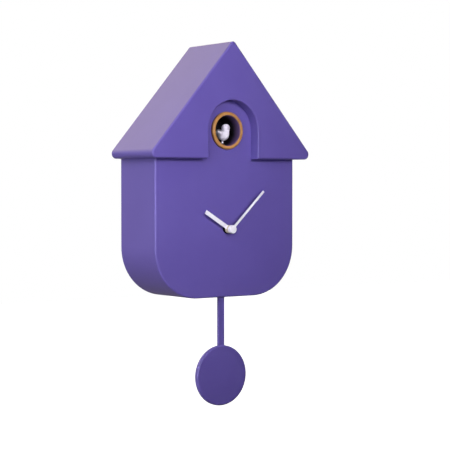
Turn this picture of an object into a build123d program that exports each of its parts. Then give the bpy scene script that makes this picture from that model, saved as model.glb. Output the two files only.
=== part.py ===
"""House-shaped cuckoo clock that hangs on a wall, in millimetres.

The origin is where the shank of the wall screw carries the clock. +Z is up, the back
lies on the wall plane Y = 0 and the dial looks along -Y. Depths are distances from the
wall towards the front, so a depth of 10 is at Y = -10.
"""

import os
from math import cos, pi, radians, sin, sqrt, tan

from build123d import *

os.makedirs("parts", exist_ok=True)

# Driving dimensions: roof
ridge_above_hook = 47.68
roof_pitch = 49.2
eave_overhang = 12.0
roof_wall = 3.0
eave_radius = 5.8
ridge_radius = 3.6
gable_projection = 14.0

# Driving dimensions: body
body_width = 186.0
body_height = 152.0
body_depth = 69.0
body_corner = 55.0
body_wall = 2.5
edge_round, arch_round = 2.0, 1.2

# Driving dimensions: fits
fit_gap = 0.3
press_gap = 0.05
run_gap = 0.04

# Driving dimensions: screws and the bosses they go into
screw_diameter = 2.6
screw_head_diameter = 5.2
screw_head_height = 1.3
recess_length, recess_width, recess_depth = 3.2, 0.8, 0.6
cover_screw_length = 12.0
roof_screw_length = 10.0
bracket_screw_length = 7.0
board_screw_length = 6.0
pilot_room = 1.0
boss_diameter = 8.0

# Driving dimensions: nest
nest_above_eave = 31.0
nest_bore = 33.0
arch_width = 66.0
ring_face = 4.3
ring_proud = 3.6
ring_spigot = 1.2
ring_lip = 1.2
ring_outer_round, ring_inner_round = 1.6, 0.8
collar_wall = 2.0
collar_length = 8.5
nest_length = 21.0
nest_wall = 1.5
nest_step = 0.5
liner_wall = 1.0
shoulder_thickness = 2.0

# Driving dimensions: dial and hands
hands_below_eave = 77.0
minute_angle = 46.0
hour_angle = 301.2
minute_length, minute_width = 59.6, 2.6
hour_length, hour_width = 37.4, 4.4
blade_thickness = 0.8
hub_diameter = 9.0
hour_hub_gap = 3.8
hour_hub_height = 4.7
hour_blade_rise = 2.1
hub_gap = 0.5
minute_hub_height = 3.5
minute_blade_rise = 1.8
hub_web = 1.0
cap_height = 0.9

# Driving dimensions: movement
movement_width = 56.0
movement_below_hands = 28.0
gear_room = 3.6
movement_thickness = 15.5
movement_wall = 1.5
movement_corner = 4.0
cover_lip_height, cover_lip_wall = 2.0, 1.0
gasket_diameter, gasket_thickness = 24.0, 1.0
bush_diameter = 6.0
bush_flange_diameter, bush_flange_thickness = 11.0, 1.0
bush_proud = 3.4
washer_diameter, washer_height = 9.6, 0.5
nut_across_flats, nut_height = 8.0, 2.0
pipe_diameter = 4.0
arbor_diameter = 2.4
pivot_diameter, pivot_length, pivot_boss = 1.6, 5.5, 7.0
gear_module = 0.5
cannon_teeth, motion_teeth, motion_pinion_teeth, hour_teeth, setting_teeth = 10, 30, 8, 32, 10
wheel_height, wheel_gap, wheel_clearance = 1.4, 0.8, 1.2
pinion_margin = 0.2
coil_below_hands, coil_behind_plate = 17.5, 6.5
coil_length, coil_diameter = 24.0, 7.6
coil_flange_diameter, coil_flange = 9.6, 1.2
core_height, core_thickness = 3.0, 1.5
stator_width = 36.0
pole_low_drop, pole_high_drop = 12.0, 4.5
rotor_hole = 6.0

# Driving dimensions: time setting at the back
stem_diameter = 3.0
stem_boss_diameter = 5.2
knob_diameter, knob_height, knob_depth = 15.0, 6.0, 1.0
knob_cap = 1.5
knob_flutes, flute_diameter = 18, 2.0
well_diameter, well_depth, well_wall = 36.0, 8.5, 1.5

# Driving dimensions: pendulum
pendulum_behind_dial = 11.0
pivot_above_bottom = 24.0
peg_drop, peg_diameter, peg_rim = 14.0, 4.0, 2.0
magnet_rise, magnet_diameter, magnet_thickness, magnet_rim = 16.0, 8.0, 2.5, 1.0
drive_coil_diameter, drive_coil_bore, drive_coil_height = 12.0, 3.0, 4.0
rod_width, rod_thickness = 8.0, 3.0
rod_below_body = 54.0
bob_diameter, bob_thickness = 67.0, 6.0
bob_round = 2.4
bob_socket = 14.0
swing_angle = 6.0
slot_side_room, slot_depth_room = 2.0, 2.5
pendulum_pin_diameter, pin_head, pin_tail = 2.5, 1.0, 1.6
clip_rim, clip_gap, clip_thickness = 1.75, 1.4, 0.8
hanger_thickness, hanger_width, hanger_hub = 2.5, 6.0, 7.0
hanger_hub_rim = 1.5
bracket_sheet = 2.0
bracket_reach, bracket_boss_lead = 8.0, 2.5
bracket_half, bracket_boss_x = 15.0, 21.0
bracket_below_pivot, bracket_above_magnet = 8.0, 6.0
ear_margin = 1.0

# Driving dimensions: bird drive
bird_travel = 20.0
pinion_depth = 30.0
rack_overrun = 4.0
pinion_teeth, drive_teeth, motor_teeth = 16, 40, 10
carriage_width, carriage_height, carriage_room = 9.0, 6.0, 2.0
tongue_reach, tongue_height = 1.2, 2.0
rail_wall, rail_inset = 3.0, 2.0
shelf_thickness, shelf_room, shelf_margin = 2.0, 0.6, 2.0
drive_boss_x, drive_boss_depth, drive_boss_drop = 33.0, 50.0, 4.0
drive_gear_x, drive_gear_width = 9.0, 2.5
pinion_side_gap, spacer_step, gear_way_room = 1.2, 0.6, 0.8
axle_diameter = 2.0
ear_x, ear_width, ear_length = 13.0, 2.0, 9.0
cradle_rise, cradle_wall, cradle_inset = 3.0, 2.0, 2.0
flange_rise = 2.0
motor_x, motor_diameter, motor_length = 16.0, 16.0, 20.0
endcap_length, endcap_step = 3.0, 0.4
endcap_boss_diameter, endcap_boss_height = 5.0, 1.2
shaft_diameter = 1.5
motor_pinion_margin = 0.4

# Driving dimensions: bird and its arm
arm_width, arm_height, arm_room, arm_post = 4.0, 2.0, 0.6, 4.0
arm_behind_dial = 6.0
leg_diameter, leg_inset = 2.0, 1.5
head_radius, head_behind_dial, head_above_nest = 4.4, 0.8, 2.9
belly_length, belly_radius = 15.6, 5.7
belly_behind_dial, belly_below_nest = 6.5, 4.7
beak_diameter, beak_length, beak_taper, beak_drop = 3.0, 3.6, 20.0, 0.6
beak_root = 0.7
tail_width, tail_height, tail_root_height = 6.0, 6.2, 7.0
tail_behind_dial, tail_below_nest = 15.4, 1.2
tail_round, tail_edge_round = 1.6, 0.8

# Driving dimensions: back cover and what it carries
cover_thickness = 2.5
cover_screw_insets = ((19.0, 34.0), (11.0, 154.0))
top_screw_x, top_screw_drop = 24.0, 56.0
roof_screw_inset, roof_screw_above_eave, roof_screw_below_ridge = 31.0, 22.0, 36.0
keyhole_entry, keyhole_slot, keyhole_drop = 10.0, 4.6, 9.0
keyhole_pad, keyhole_rim, keyhole_corner = 1.5, 5.0, 5.0
cell_diameter, cell_length, cell_count, cell_gap = 14.5, 50.5, 3, 0.7
contact_room = 1.75
contact_size, contact_sheet = 9.0, 0.4
button_diameter, button_height = 5.0, 0.8
leaf_height, leaf_offset, leaf_foot = 1.6, 1.0, 1.0
battery_left, battery_above_bottom, battery_depth = 15.2, 48.0, 16.0
box_wall, box_flange, box_corner = 1.5, 4.0, 1.0
cell_rib_width, cell_rib_height, cell_rib_inset = 1.2, 4.0, 6.0
door_margin, door_thickness, door_corner = 3.0, 1.3, 1.5
door_notch_radius = 7.0
door_rib_wall, door_rib_height, door_rib_inset = 1.5, 1.8, 8.0
tab_width, slit_width, slit_length = 14.0, 1.0, 9.0
speaker_x, speaker_below_eave, speaker_diameter = -47.0, 24.0, 40.0
speaker_rim, speaker_sheet, speaker_depth = 2.5, 1.2, 9.0
basket_floor_radius, basket_hole_radius = 10.0, 4.0
cone_sheet, cone_floor_radius, cone_depth = 0.8, 5.0, 6.2
speaker_magnet_diameter, speaker_magnet_height, speaker_magnet_round = 22.0, 5.0, 0.8
speaker_seat_height = 3.5
grille_slots, grille_pitch, grille_slot_width, grille_margin = 7, 4.5, 2.0, 4.0
board_x, board_above_bottom, board_depth = -47.0, 64.0, 11.0
board_width, board_height, board_thickness, board_corner = 52.0, 36.0, 1.6, 2.0
board_post_inset, board_post_drop, board_post_diameter = 5.0, 12.0, 6.0
chip_length, chip_width, chip_height, chip_offset, chip_bevel = 10.0, 7.0, 2.2, -4.0, 0.3
capacitor_offsets, capacitor_rise = (-16.0, 12.0), 8.0
capacitor_diameter, capacitor_height = 6.4, 9.0
switch_rise, switch_length, switch_width, switch_depth = 6.0, 14.0, 7.0, 5.0
switch_travel, switch_knob, switch_knob_depth = 4.0, 3.0, 0.6
slider_length, slider_width, slider_height = 6.0, 5.0, 0.9
slider_gap = 0.1

# Sizes and places that follow: case
pitch = radians(roof_pitch)
roof_half = body_width / 2 + eave_overhang + eave_radius * (1 / tan(pitch / 2) - 1)
ridge_z = ridge_above_hook
eave_z = ridge_z - roof_half * tan(pitch)
bottom_z = eave_z - body_height
case_depth = body_depth + gable_projection
wall_inside = body_depth - body_wall
boss_root = wall_inside + body_wall / 2
cover_screw_spots = [
    (side * (body_width / 2 - inset), bottom_z + rise)
    for inset, rise in cover_screw_insets
    for side in (-1, 1)
]
cover_screw_spots += [(side * top_screw_x, ridge_z - top_screw_drop) for side in (-1, 1)]
roof_screw_spots = [
    (side * (body_width / 2 - roof_screw_inset), eave_z + roof_screw_above_eave) for side in (-1, 1)
]
roof_screw_spots += [(0, ridge_z - roof_screw_below_ridge)]

# Sizes and places that follow: nest
nest_z = eave_z + nest_above_eave
liner_diameter = nest_bore + 2 * liner_wall
liner_seat = liner_diameter / 2 + press_gap
collar_diameter = 2 * (liner_seat + collar_wall)
collar_depth = wall_inside - collar_length
nest_rear_depth = collar_depth - nest_length
tunnel_diameter = nest_bore + 2 * nest_step
tunnel_low = nest_z - tunnel_diameter / 2 - nest_wall

# Sizes and places that follow: movement, hands and time setting
tooth_tip, tooth_root = 0.2, 0.52
addendum, dedendum = 0.8 * gear_module, 1.05 * gear_module
hand_z = eave_z - hands_below_eave
motion_z = hand_z + gear_module * (cannon_teeth + motion_teeth) / 2
stem_z = motion_z + gear_module * (motion_teeth + setting_teeth) / 2
movement_front = wall_inside - gasket_thickness
movement_back = movement_front - movement_thickness
movement_low = hand_z - movement_below_hands
movement_high = stem_z + setting_teeth * gear_module / 2 + addendum + gear_room + movement_wall
movement_height = movement_high - movement_low
movement_z = (movement_low + movement_high) / 2
plate_inside = movement_front - movement_wall
cover_inside = movement_back + movement_wall
hour_gear_depth = plate_inside - wheel_clearance - wheel_height
motion_gear_depth = hour_gear_depth - wheel_gap - wheel_height
cannon_depth = motion_gear_depth - pinion_margin
cannon_height = wheel_height + 2 * pinion_margin
bush_front = body_depth + bush_proud
hour_hub_depth = body_depth + hour_hub_gap
hour_hub_front = hour_hub_depth + hour_hub_height
minute_hub_depth = hour_hub_front + hub_gap
minute_hub_front = minute_hub_depth + minute_hub_height

# Sizes and places that follow: pendulum
pendulum_depth = body_depth - pendulum_behind_dial
pivot_z = bottom_z + pivot_above_bottom
bracket_back = pendulum_depth - bracket_reach
bracket_boss_depth = pendulum_depth + bracket_boss_lead
hanger_depth = pendulum_depth + rod_thickness / 2
bob_z = bottom_z - rod_below_body - bob_diameter / 2

# Sizes and places that follow: bird drive
pinion_radius = pinion_teeth * gear_module / 2
carriage_high = tunnel_low - carriage_room
carriage_low = carriage_high - carriage_height
tongue_z = carriage_low + carriage_height / 2
drive_z = carriage_low - dedendum - pinion_radius
drive_boss_z = drive_z - drive_boss_drop
motor_depth = pinion_depth - gear_module * (drive_teeth + motor_teeth) / 2
rack_front = pinion_depth + rack_overrun
rack_rear = pinion_depth - bird_travel - rack_overrun

# Sizes and places that follow: back cover
bay_width = cell_count * (cell_diameter + cell_gap)
bay_height = cell_length + 2 * contact_room
battery_x = battery_left + box_flange + bay_width / 2
battery_z = bottom_z + battery_above_bottom
speaker_z = eave_z - speaker_below_eave
board_z = bottom_z + board_above_bottom
board_front = board_depth + board_thickness
board_post_spots = [
    (board_x + side * (board_width / 2 - board_post_inset), board_z - board_post_drop) for side in (-1, 1)
]
switch_x, switch_z = board_x, board_z + switch_rise


def front_plane(depth, x=0.0, z=0.0):
    """Plane parallel to the wall at a depth, looking to the front, with sketch y upwards."""
    return Plane(origin=(x, -depth, z), x_dir=(1, 0, 0), z_dir=(0, -1, 0))


def back_plane(depth, x=0.0, z=0.0):
    """Plane parallel to the wall at a depth, looking back at the wall."""
    return Plane(origin=(x, -depth, z), x_dir=(-1, 0, 0), z_dir=(0, 1, 0))


def side_plane(x, depth=0.0, z=0.0):
    """Plane across the clock at x, looking right, with sketch x to the wall and y upwards."""
    return Plane(origin=(x, -depth, z), x_dir=(0, 1, 0), z_dir=(1, 0, 0))


def floor_plane(z):
    """Level plane at a height, with sketch y to the wall."""
    return Plane(origin=(0, 0, z), x_dir=(1, 0, 0), z_dir=(0, 0, 1))


def roof_face(inset):
    """Gable triangle with rounded eaves, set in from the roof's outside by a wall."""
    apex = ridge_z - inset / cos(pitch)
    low = eave_z + inset
    half = (apex - low) / tan(pitch)
    with BuildSketch(front_plane(0)) as face:
        with BuildLine():
            Polyline((-half, low), (half, low), (0, apex), close=True)
        make_face()
        fillet(face.vertices().group_by(Axis.Y)[0], eave_radius - inset)
        if inset == 0:
            fillet(face.vertices().sort_by(Axis.Y)[-1], ridge_radius)
    return face.sketch


def body_face(inset):
    """House outline of the body under the roof, with its two round bottom corners."""
    half = body_width / 2 - inset
    low = bottom_z + inset
    apex = ridge_z - (roof_wall + fit_gap + inset) / cos(pitch)
    shoulder = apex - half * tan(pitch)
    with BuildSketch(front_plane(0)) as face:
        with BuildLine():
            Polyline(
                (-half, low), (half, low), (half, shoulder), (0, apex), (-half, shoulder), close=True
            )
        make_face()
        fillet(face.vertices().group_by(Axis.Y)[0], body_corner - inset)
    return face.sketch


def arch_face(half, low, depth):
    """Round-headed opening over the nest: straight jambs and a half circle."""
    with BuildSketch(front_plane(depth)) as face:
        with BuildLine():
            Polyline((half, nest_z), (half, low), (-half, low), (-half, nest_z))
            ThreePointArc((-half, nest_z), (0, nest_z + half), (half, nest_z))
        make_face()
    return face.sketch


def disc(diameter, plane, bore=0.0):
    """Round face on a plane, with a round bore where one is given."""
    with BuildSketch(plane) as face:
        Circle(diameter / 2)
        if bore > 0:
            Circle(bore / 2, mode=Mode.SUBTRACT)
    return face.sketch


def block(width, height, plane, corner=0.0):
    """Rectangular face centred on a plane, with round corners where a radius is given."""
    with BuildSketch(plane) as face:
        if corner > 0:
            RectangleRounded(width, height, corner)
        else:
            Rectangle(width, height)
    return face.sketch


def gear_points(teeth, first_tooth):
    """Corners of a spur gear, four to a tooth, with one tooth centred on an angle in degrees."""
    reach = teeth * gear_module / 2
    flank = ((-tooth_root, -dedendum), (-tooth_tip, addendum), (tooth_tip, addendum), (tooth_root, -dedendum))
    points = []
    for tooth in range(teeth):
        for share, height in flank:
            angle = radians(first_tooth) + (tooth + share / 2) * 2 * pi / teeth
            points.append(((reach + height) * cos(angle), (reach + height) * sin(angle)))
    return points


def gear_face(teeth, first_tooth, plane, bore):
    """Face of a spur gear on a plane, with a round bore."""
    with BuildSketch(plane) as face:
        Polygon(*gear_points(teeth, first_tooth), align=None)
        Circle(bore / 2, mode=Mode.SUBTRACT)
    return face.sketch


def hand_face(width, length, angle, depth):
    """Bar of a hand, from the axis outwards at a clockwise angle from twelve."""
    with BuildSketch(front_plane(depth, 0, hand_z)) as face:
        Rectangle(width, length, rotation=-angle, align=(Align.CENTER, Align.MIN))
    return face.sketch


def screw_group(planes, length):
    """Pan-head screws whose heads sit on the given planes, all as one group of solids."""
    head = (Align.CENTER, Align.CENTER, Align.MIN)
    shank = (Align.CENTER, Align.CENTER, Align.MAX)
    with BuildPart() as screws:
        for plane in planes:
            with Locations(plane):
                Cylinder(screw_head_diameter / 2, screw_head_height, align=head)
                Cylinder(screw_diameter / 2, length, align=shank)
            with Locations(plane.offset(screw_head_height)):
                Box(recess_length, recess_width, 2 * recess_depth, mode=Mode.SUBTRACT)
                Box(recess_width, recess_length, 2 * recess_depth, mode=Mode.SUBTRACT)
    return screws.part


def keep(part, name):
    """Label a finished piece and write it out."""
    part.label = name
    export_step(part, f"parts/{name}.step")


# Roof: a hollow gable with closed eaves, an arched opening in front and bosses inside
with BuildPart() as roof_shell:
    extrude(roof_face(0), amount=case_depth)
    fillet(roof_shell.faces().sort_by(Axis.Y)[0].outer_wire().edges(), edge_round)
    extrude(roof_face(roof_wall), amount=case_depth - roof_wall, mode=Mode.SUBTRACT)
    extrude(
        arch_face(arch_width / 2 + roof_wall, eave_z, body_depth + fit_gap),
        amount=gable_projection - fit_gap - roof_wall / 2,
    )
    for x, z in roof_screw_spots:
        extrude(disc(boss_diameter, front_plane(body_depth, x, z)), amount=gable_projection - roof_wall / 2)
    extrude(
        arch_face(arch_width / 2, eave_z - roof_wall, body_depth),
        amount=gable_projection + roof_wall,
        mode=Mode.SUBTRACT,
    )
    with BuildSketch(floor_plane(eave_z - roof_wall)):
        Rectangle(body_width + 2 * fit_gap, 2 * (body_depth + fit_gap))
    extrude(amount=3 * roof_wall, mode=Mode.SUBTRACT)
    for x, z in roof_screw_spots:
        with Locations(back_plane(body_depth, x, z)):
            Hole(screw_diameter / 2 + press_gap, depth=gable_projection - roof_wall - fit_gap)
    gable_edges = roof_shell.faces().sort_by(Axis.Y)[0].edges()
    jambs = gable_edges.filter_by(Axis.Z)
    arch_head = gable_edges.filter_by(GeomType.CIRCLE).group_by(SortBy.RADIUS)[-1]
    fillet(jambs + arch_head, arch_round)
keep(roof_shell.part, "roof_shell")

# Body: a deep tray with the dial as its floor, a collar behind the nest and screw bosses
cover_pilot = cover_screw_length - cover_thickness + screw_head_height + pilot_room
bracket_pilot = bracket_screw_length - bracket_sheet + pilot_room
swing_reach = pivot_above_bottom * tan(radians(swing_angle))
with BuildPart() as front_housing:
    extrude(body_face(0), amount=body_depth)
    fillet(front_housing.faces().sort_by(Axis.Y)[0].outer_wire().edges(), edge_round)
    extrude(body_face(body_wall), amount=wall_inside, mode=Mode.SUBTRACT)
    extrude(disc(collar_diameter, front_plane(collar_depth, 0, nest_z)), amount=boss_root - collar_depth)
    for x, z in cover_screw_spots:
        extrude(disc(boss_diameter, front_plane(cover_thickness, x, z)), amount=boss_root - cover_thickness)
        with Locations(back_plane(cover_thickness, x, z)):
            Hole(screw_diameter / 2 + press_gap, depth=cover_pilot)
    for side in (-1, 1):
        bracket_boss = (bracket_boss_depth, side * bracket_boss_x, pivot_z)
        drive_boss = (drive_boss_depth, side * drive_boss_x, drive_boss_z)
        extrude(disc(boss_diameter, front_plane(*bracket_boss)), amount=boss_root - bracket_boss_depth)
        extrude(disc(boss_diameter, front_plane(*drive_boss)), amount=boss_root - drive_boss_depth)
        with Locations(back_plane(*bracket_boss), back_plane(*drive_boss)):
            Hole(screw_diameter / 2 + press_gap, depth=bracket_pilot)
    for x, z in roof_screw_spots:
        with Locations(back_plane(wall_inside, x, z)):
            Hole(screw_diameter / 2 + fit_gap, depth=2 * body_wall)
    with Locations(front_plane(body_depth, 0, nest_z)):
        CounterBoreHole(liner_seat, collar_diameter / 2 + fit_gap, ring_spigot, depth=2 * collar_length)
    with Locations(front_plane(body_depth, 0, hand_z)):
        Hole(bush_diameter / 2 + fit_gap / 2, depth=2 * body_wall)
    with BuildSketch(floor_plane(bottom_z - body_wall)):
        with Locations((0, -pendulum_depth)):
            SlotOverall(rod_width + 2 * (swing_reach + slot_side_room), rod_thickness + 2 * slot_depth_room)
    extrude(amount=3 * body_wall, mode=Mode.SUBTRACT)
keep(front_housing.part, "front_housing")

# Screws that hold the roof on, put in from inside the body
roof_screw_planes = [back_plane(wall_inside, x, z) for x, z in roof_screw_spots]
keep(screw_group(roof_screw_planes, roof_screw_length), "roof_screws")

# Back cover: a plate let in flush, with keyhole, battery window, knob well, grille and switch slot
board_pilot = board_screw_length - board_thickness + pilot_room
speaker_seat = speaker_diameter + 2 * fit_gap
with BuildPart() as back_cover:
    extrude(body_face(body_wall + fit_gap), amount=cover_thickness)
    extrude(
        block(
            keyhole_entry + 2 * keyhole_rim,
            keyhole_drop + keyhole_entry + 2 * keyhole_rim,
            front_plane(cover_thickness, 0, -keyhole_drop / 2),
            keyhole_corner,
        ),
        amount=keyhole_pad,
    )
    extrude(disc(well_diameter + 2 * well_wall, front_plane(0, 0, stem_z)), amount=well_depth + well_wall)
    extrude(disc(well_diameter, front_plane(0, 0, stem_z)), amount=well_depth, mode=Mode.SUBTRACT)
    speaker_plane = front_plane(cover_thickness, speaker_x, speaker_z)
    extrude(disc(speaker_seat + 2 * box_wall, speaker_plane, speaker_seat), amount=speaker_seat_height)
    for x, z in board_post_spots:
        post_plane = front_plane(cover_thickness, x, z)
        extrude(disc(board_post_diameter, post_plane), amount=board_depth - cover_thickness)
        with Locations(front_plane(board_depth, x, z)):
            Hole(screw_diameter / 2 + press_gap, depth=board_pilot)
    with BuildSketch(front_plane(0)):
        with Locations((0, -keyhole_drop)):
            Circle(keyhole_entry / 2)
        with Locations((0, -keyhole_drop / 2)):
            SlotCenterToCenter(keyhole_drop, keyhole_slot, rotation=90)
        with Locations((battery_x, battery_z)):
            Rectangle(bay_width, bay_height)
        for slot in range(grille_slots):
            across = (slot - (grille_slots - 1) / 2) * grille_pitch
            length = 2 * sqrt((speaker_diameter / 2 - grille_margin) ** 2 - across**2)
            with Locations((speaker_x + across, speaker_z)):
                SlotOverall(length, grille_slot_width, rotation=90)
        with Locations((switch_x, switch_z)):
            SlotOverall(switch_travel + 2 * switch_knob, switch_knob + 1)
    extrude(amount=cover_thickness + keyhole_pad, mode=Mode.SUBTRACT)
    with BuildSketch(front_plane(0, battery_x, battery_z)):
        Rectangle(bay_width + 2 * door_margin, bay_height + 2 * door_margin)
        with Locations((0, -bay_height / 2 - door_margin)):
            Circle(door_notch_radius)
    extrude(amount=door_thickness, mode=Mode.SUBTRACT)
    for x, z in cover_screw_spots:
        with Locations(back_plane(0, x, z)):
            CounterBoreHole(
                screw_diameter / 2 + fit_gap, screw_head_diameter / 2 + fit_gap, screw_head_height
            )
    with Locations(front_plane(well_depth + well_wall, 0, stem_z)):
        Hole(stem_diameter / 2 + run_gap, depth=2 * well_wall)
keep(back_cover.part, "back_cover")
cover_screw_planes = [back_plane(screw_head_height, x, z) for x, z in cover_screw_spots]
keep(screw_group(cover_screw_planes, cover_screw_length), "cover_screws")

# Battery box: an open tray with a flange against the cover and ribs between the cells
box_plane = front_plane(cover_thickness, battery_x, battery_z)
with BuildPart() as battery_box:
    extrude(block(bay_width + 2 * box_flange, bay_height + 2 * box_flange, box_plane), amount=box_wall)
    extrude(
        block(bay_width + 2 * box_wall, bay_height + 2 * box_wall, box_plane),
        amount=battery_depth + box_wall,
    )
    extrude(block(bay_width, bay_height, box_plane), amount=battery_depth, mode=Mode.SUBTRACT)
    for rib in range(1, cell_count):
        rib_x = battery_x - bay_width / 2 + rib * (cell_diameter + cell_gap)
        rib_plane = front_plane(cover_thickness + battery_depth - cell_rib_height, rib_x, battery_z)
        extrude(block(cell_rib_width, bay_height - 2 * cell_rib_inset, rib_plane), amount=cell_rib_height)
    fillet(battery_box.edges().filter_by(Axis.Y).group_by(SortBy.LENGTH)[-1], box_corner)
keep(battery_box.part, "battery_box")

# Contacts: a plate with a button for each plus end and a bent leaf for each minus end
contact_half = contact_size / 2
contact_depth = cover_thickness + cell_diameter / 2
with BuildPart() as battery_contacts:
    for cell in range(cell_count):
        x = battery_x + (cell - (cell_count - 1) / 2) * (cell_diameter + cell_gap)
        up = 1 if cell % 2 == 0 else -1
        plus_z = battery_z + up * bay_height / 2
        minus_z = battery_z - up * bay_height / 2
        with Locations((x, -contact_depth, plus_z - up * contact_sheet / 2)):
            Box(contact_size, contact_size, contact_sheet)
        with Locations((x, -contact_depth, plus_z - up * (contact_sheet + button_height / 2))):
            Cylinder(button_diameter / 2, button_height)
        with BuildSketch(side_plane(x - contact_half, contact_depth, minus_z)):
            with BuildLine():
                Polyline(
                    (-contact_half, 0),
                    (contact_half, 0),
                    (contact_half, up * contact_sheet),
                    (leaf_offset, up * leaf_height),
                    (leaf_foot - contact_half, up * contact_sheet),
                    (-contact_half, up * contact_sheet),
                    close=True,
                )
            make_face()
        extrude(amount=contact_size)
keep(battery_contacts.part, "battery_contacts")

# Battery door: a flush lid with a locating rib under it and a spring tab between two slits
door_width, door_height = bay_width + 2 * (door_margin - fit_gap), bay_height + 2 * (door_margin - fit_gap)
rib_width, rib_height = bay_width - 2 * fit_gap, bay_height - 2 * fit_gap - door_rib_inset
with BuildPart() as battery_door:
    with BuildSketch(front_plane(0, battery_x, battery_z)):
        Rectangle(door_width, door_height)
        for side in (-1, 1):
            with Locations((side * tab_width / 2, -bay_height / 2 - door_margin + slit_length / 2)):
                Rectangle(slit_width, slit_length, mode=Mode.SUBTRACT)
    extrude(amount=door_thickness)
    fillet(battery_door.edges().filter_by(Axis.Y).group_by(Axis.Z)[-1], door_corner)
    with BuildSketch(front_plane(door_thickness, battery_x, battery_z + door_rib_inset / 2)):
        Rectangle(rib_width, rib_height)
        Rectangle(rib_width - 2 * door_rib_wall, rib_height - 2 * door_rib_wall, mode=Mode.SUBTRACT)
    extrude(amount=door_rib_height)
keep(battery_door.part, "battery_door")

# Speaker: pressed frame, paper cone and magnet, facing the grille
rim_inside = speaker_diameter / 2 - speaker_rim
speaker_axis = Axis((speaker_x, 0, speaker_z), (0, 1, 0))
speaker_section = side_plane(speaker_x, cover_thickness, speaker_z)
with BuildPart() as speaker_frame:
    with BuildSketch(speaker_section):
        with BuildLine():
            Polyline(
                (0, rim_inside),
                (0, speaker_diameter / 2),
                (-speaker_sheet, speaker_diameter / 2),
                (-speaker_sheet, rim_inside + speaker_sheet),
                (-speaker_depth, basket_floor_radius),
                (-speaker_depth, basket_hole_radius),
                (speaker_sheet - speaker_depth, basket_hole_radius),
                (speaker_sheet - speaker_depth, basket_floor_radius - speaker_sheet / 2),
                (-speaker_sheet, rim_inside),
                close=True,
            )
        make_face()
    revolve(axis=speaker_axis)
with BuildPart() as speaker_cone:
    with BuildSketch(speaker_section):
        with BuildLine():
            Polyline(
                (-cone_sheet, rim_inside - fit_gap),
                (-2 * cone_sheet, rim_inside - 2 * fit_gap),
                (-cone_depth - cone_sheet, cone_floor_radius + fit_gap),
                (-cone_depth - cone_sheet, 0),
                (-cone_depth, 0),
                (-cone_depth, cone_floor_radius),
                (-cone_sheet, rim_inside - speaker_rim),
                close=True,
            )
        make_face()
    revolve(axis=speaker_axis)
with BuildPart() as speaker_magnet:
    magnet_plane = front_plane(cover_thickness + speaker_depth, speaker_x, speaker_z)
    extrude(disc(speaker_magnet_diameter, magnet_plane), amount=speaker_magnet_height)
    fillet(speaker_magnet.edges().sort_by(Axis.Y)[0], speaker_magnet_round)
keep(speaker_frame.part, "speaker_frame")
keep(speaker_cone.part, "speaker_cone")
keep(speaker_magnet.part, "speaker_magnet")

# Sound board with its chip, capacitors and switch
slider_x = switch_x - switch_travel / 2
slider_depth = switch_depth - slider_gap - slider_height
with BuildPart() as sound_board:
    extrude(
        block(board_width, board_height, front_plane(board_depth, board_x, board_z), board_corner),
        amount=board_thickness,
    )
    for x, z in board_post_spots:
        with Locations(front_plane(board_front, x, z)):
            Hole(screw_diameter / 2 + fit_gap)
with BuildPart() as sound_chip:
    chip_plane = front_plane(board_front, board_x + chip_offset, board_z)
    extrude(block(chip_length, chip_width, chip_plane), amount=chip_height)
    chamfer(sound_chip.faces().sort_by(Axis.Y)[0].edges(), chip_bevel)
with BuildPart() as board_capacitors:
    for offset_x in capacitor_offsets:
        can_plane = front_plane(board_front, board_x + offset_x, board_z + capacitor_rise)
        extrude(disc(capacitor_diameter, can_plane), amount=capacitor_height)
with BuildPart() as sound_switch:
    switch_plane = front_plane(switch_depth, switch_x, switch_z)
    extrude(block(switch_length, switch_width, switch_plane), amount=board_depth - switch_depth)
with BuildPart() as switch_slider:
    slider_plane = front_plane(slider_depth, slider_x, switch_z)
    extrude(block(slider_length, slider_width, slider_plane), amount=slider_height)
    extrude(
        block(switch_knob, switch_knob, front_plane(switch_knob_depth, slider_x, switch_z)),
        amount=slider_depth - switch_knob_depth,
    )
keep(sound_board.part, "sound_board")
keep(sound_chip.part, "sound_chip")
keep(board_capacitors.part, "board_capacitors")
keep(sound_switch.part, "sound_switch")
keep(switch_slider.part, "switch_slider")
board_screw_planes = [front_plane(board_front, x, z) for x, z in board_post_spots]
keep(screw_group(board_screw_planes, board_screw_length), "board_screws")

# Nest ring round the hole, and the dark tunnel whose front end lines the hole and carries the ring
with BuildPart() as nest_ring:
    with BuildSketch(side_plane(0, body_depth, nest_z)) as ring_section:
        with BuildLine():
            Polyline(
                (-ring_proud, nest_bore / 2),
                (-ring_proud, nest_bore / 2 + ring_face),
                (0, nest_bore / 2 + ring_face),
                (0, collar_diameter / 2),
                (ring_spigot, collar_diameter / 2),
                (ring_spigot, liner_seat),
                (ring_lip - ring_proud, liner_seat),
                (ring_lip - ring_proud, nest_bore / 2),
                close=True,
            )
        make_face()
        front_inside, front_outside = ring_section.vertices().group_by(Axis.X)[0].sort_by(Axis.Y)
        fillet(front_inside, ring_inner_round)
        fillet(front_outside, ring_outer_round)
    revolve(axis=Axis((0, 0, nest_z), (0, 1, 0)))
keep(nest_ring.part, "nest_ring")

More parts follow.
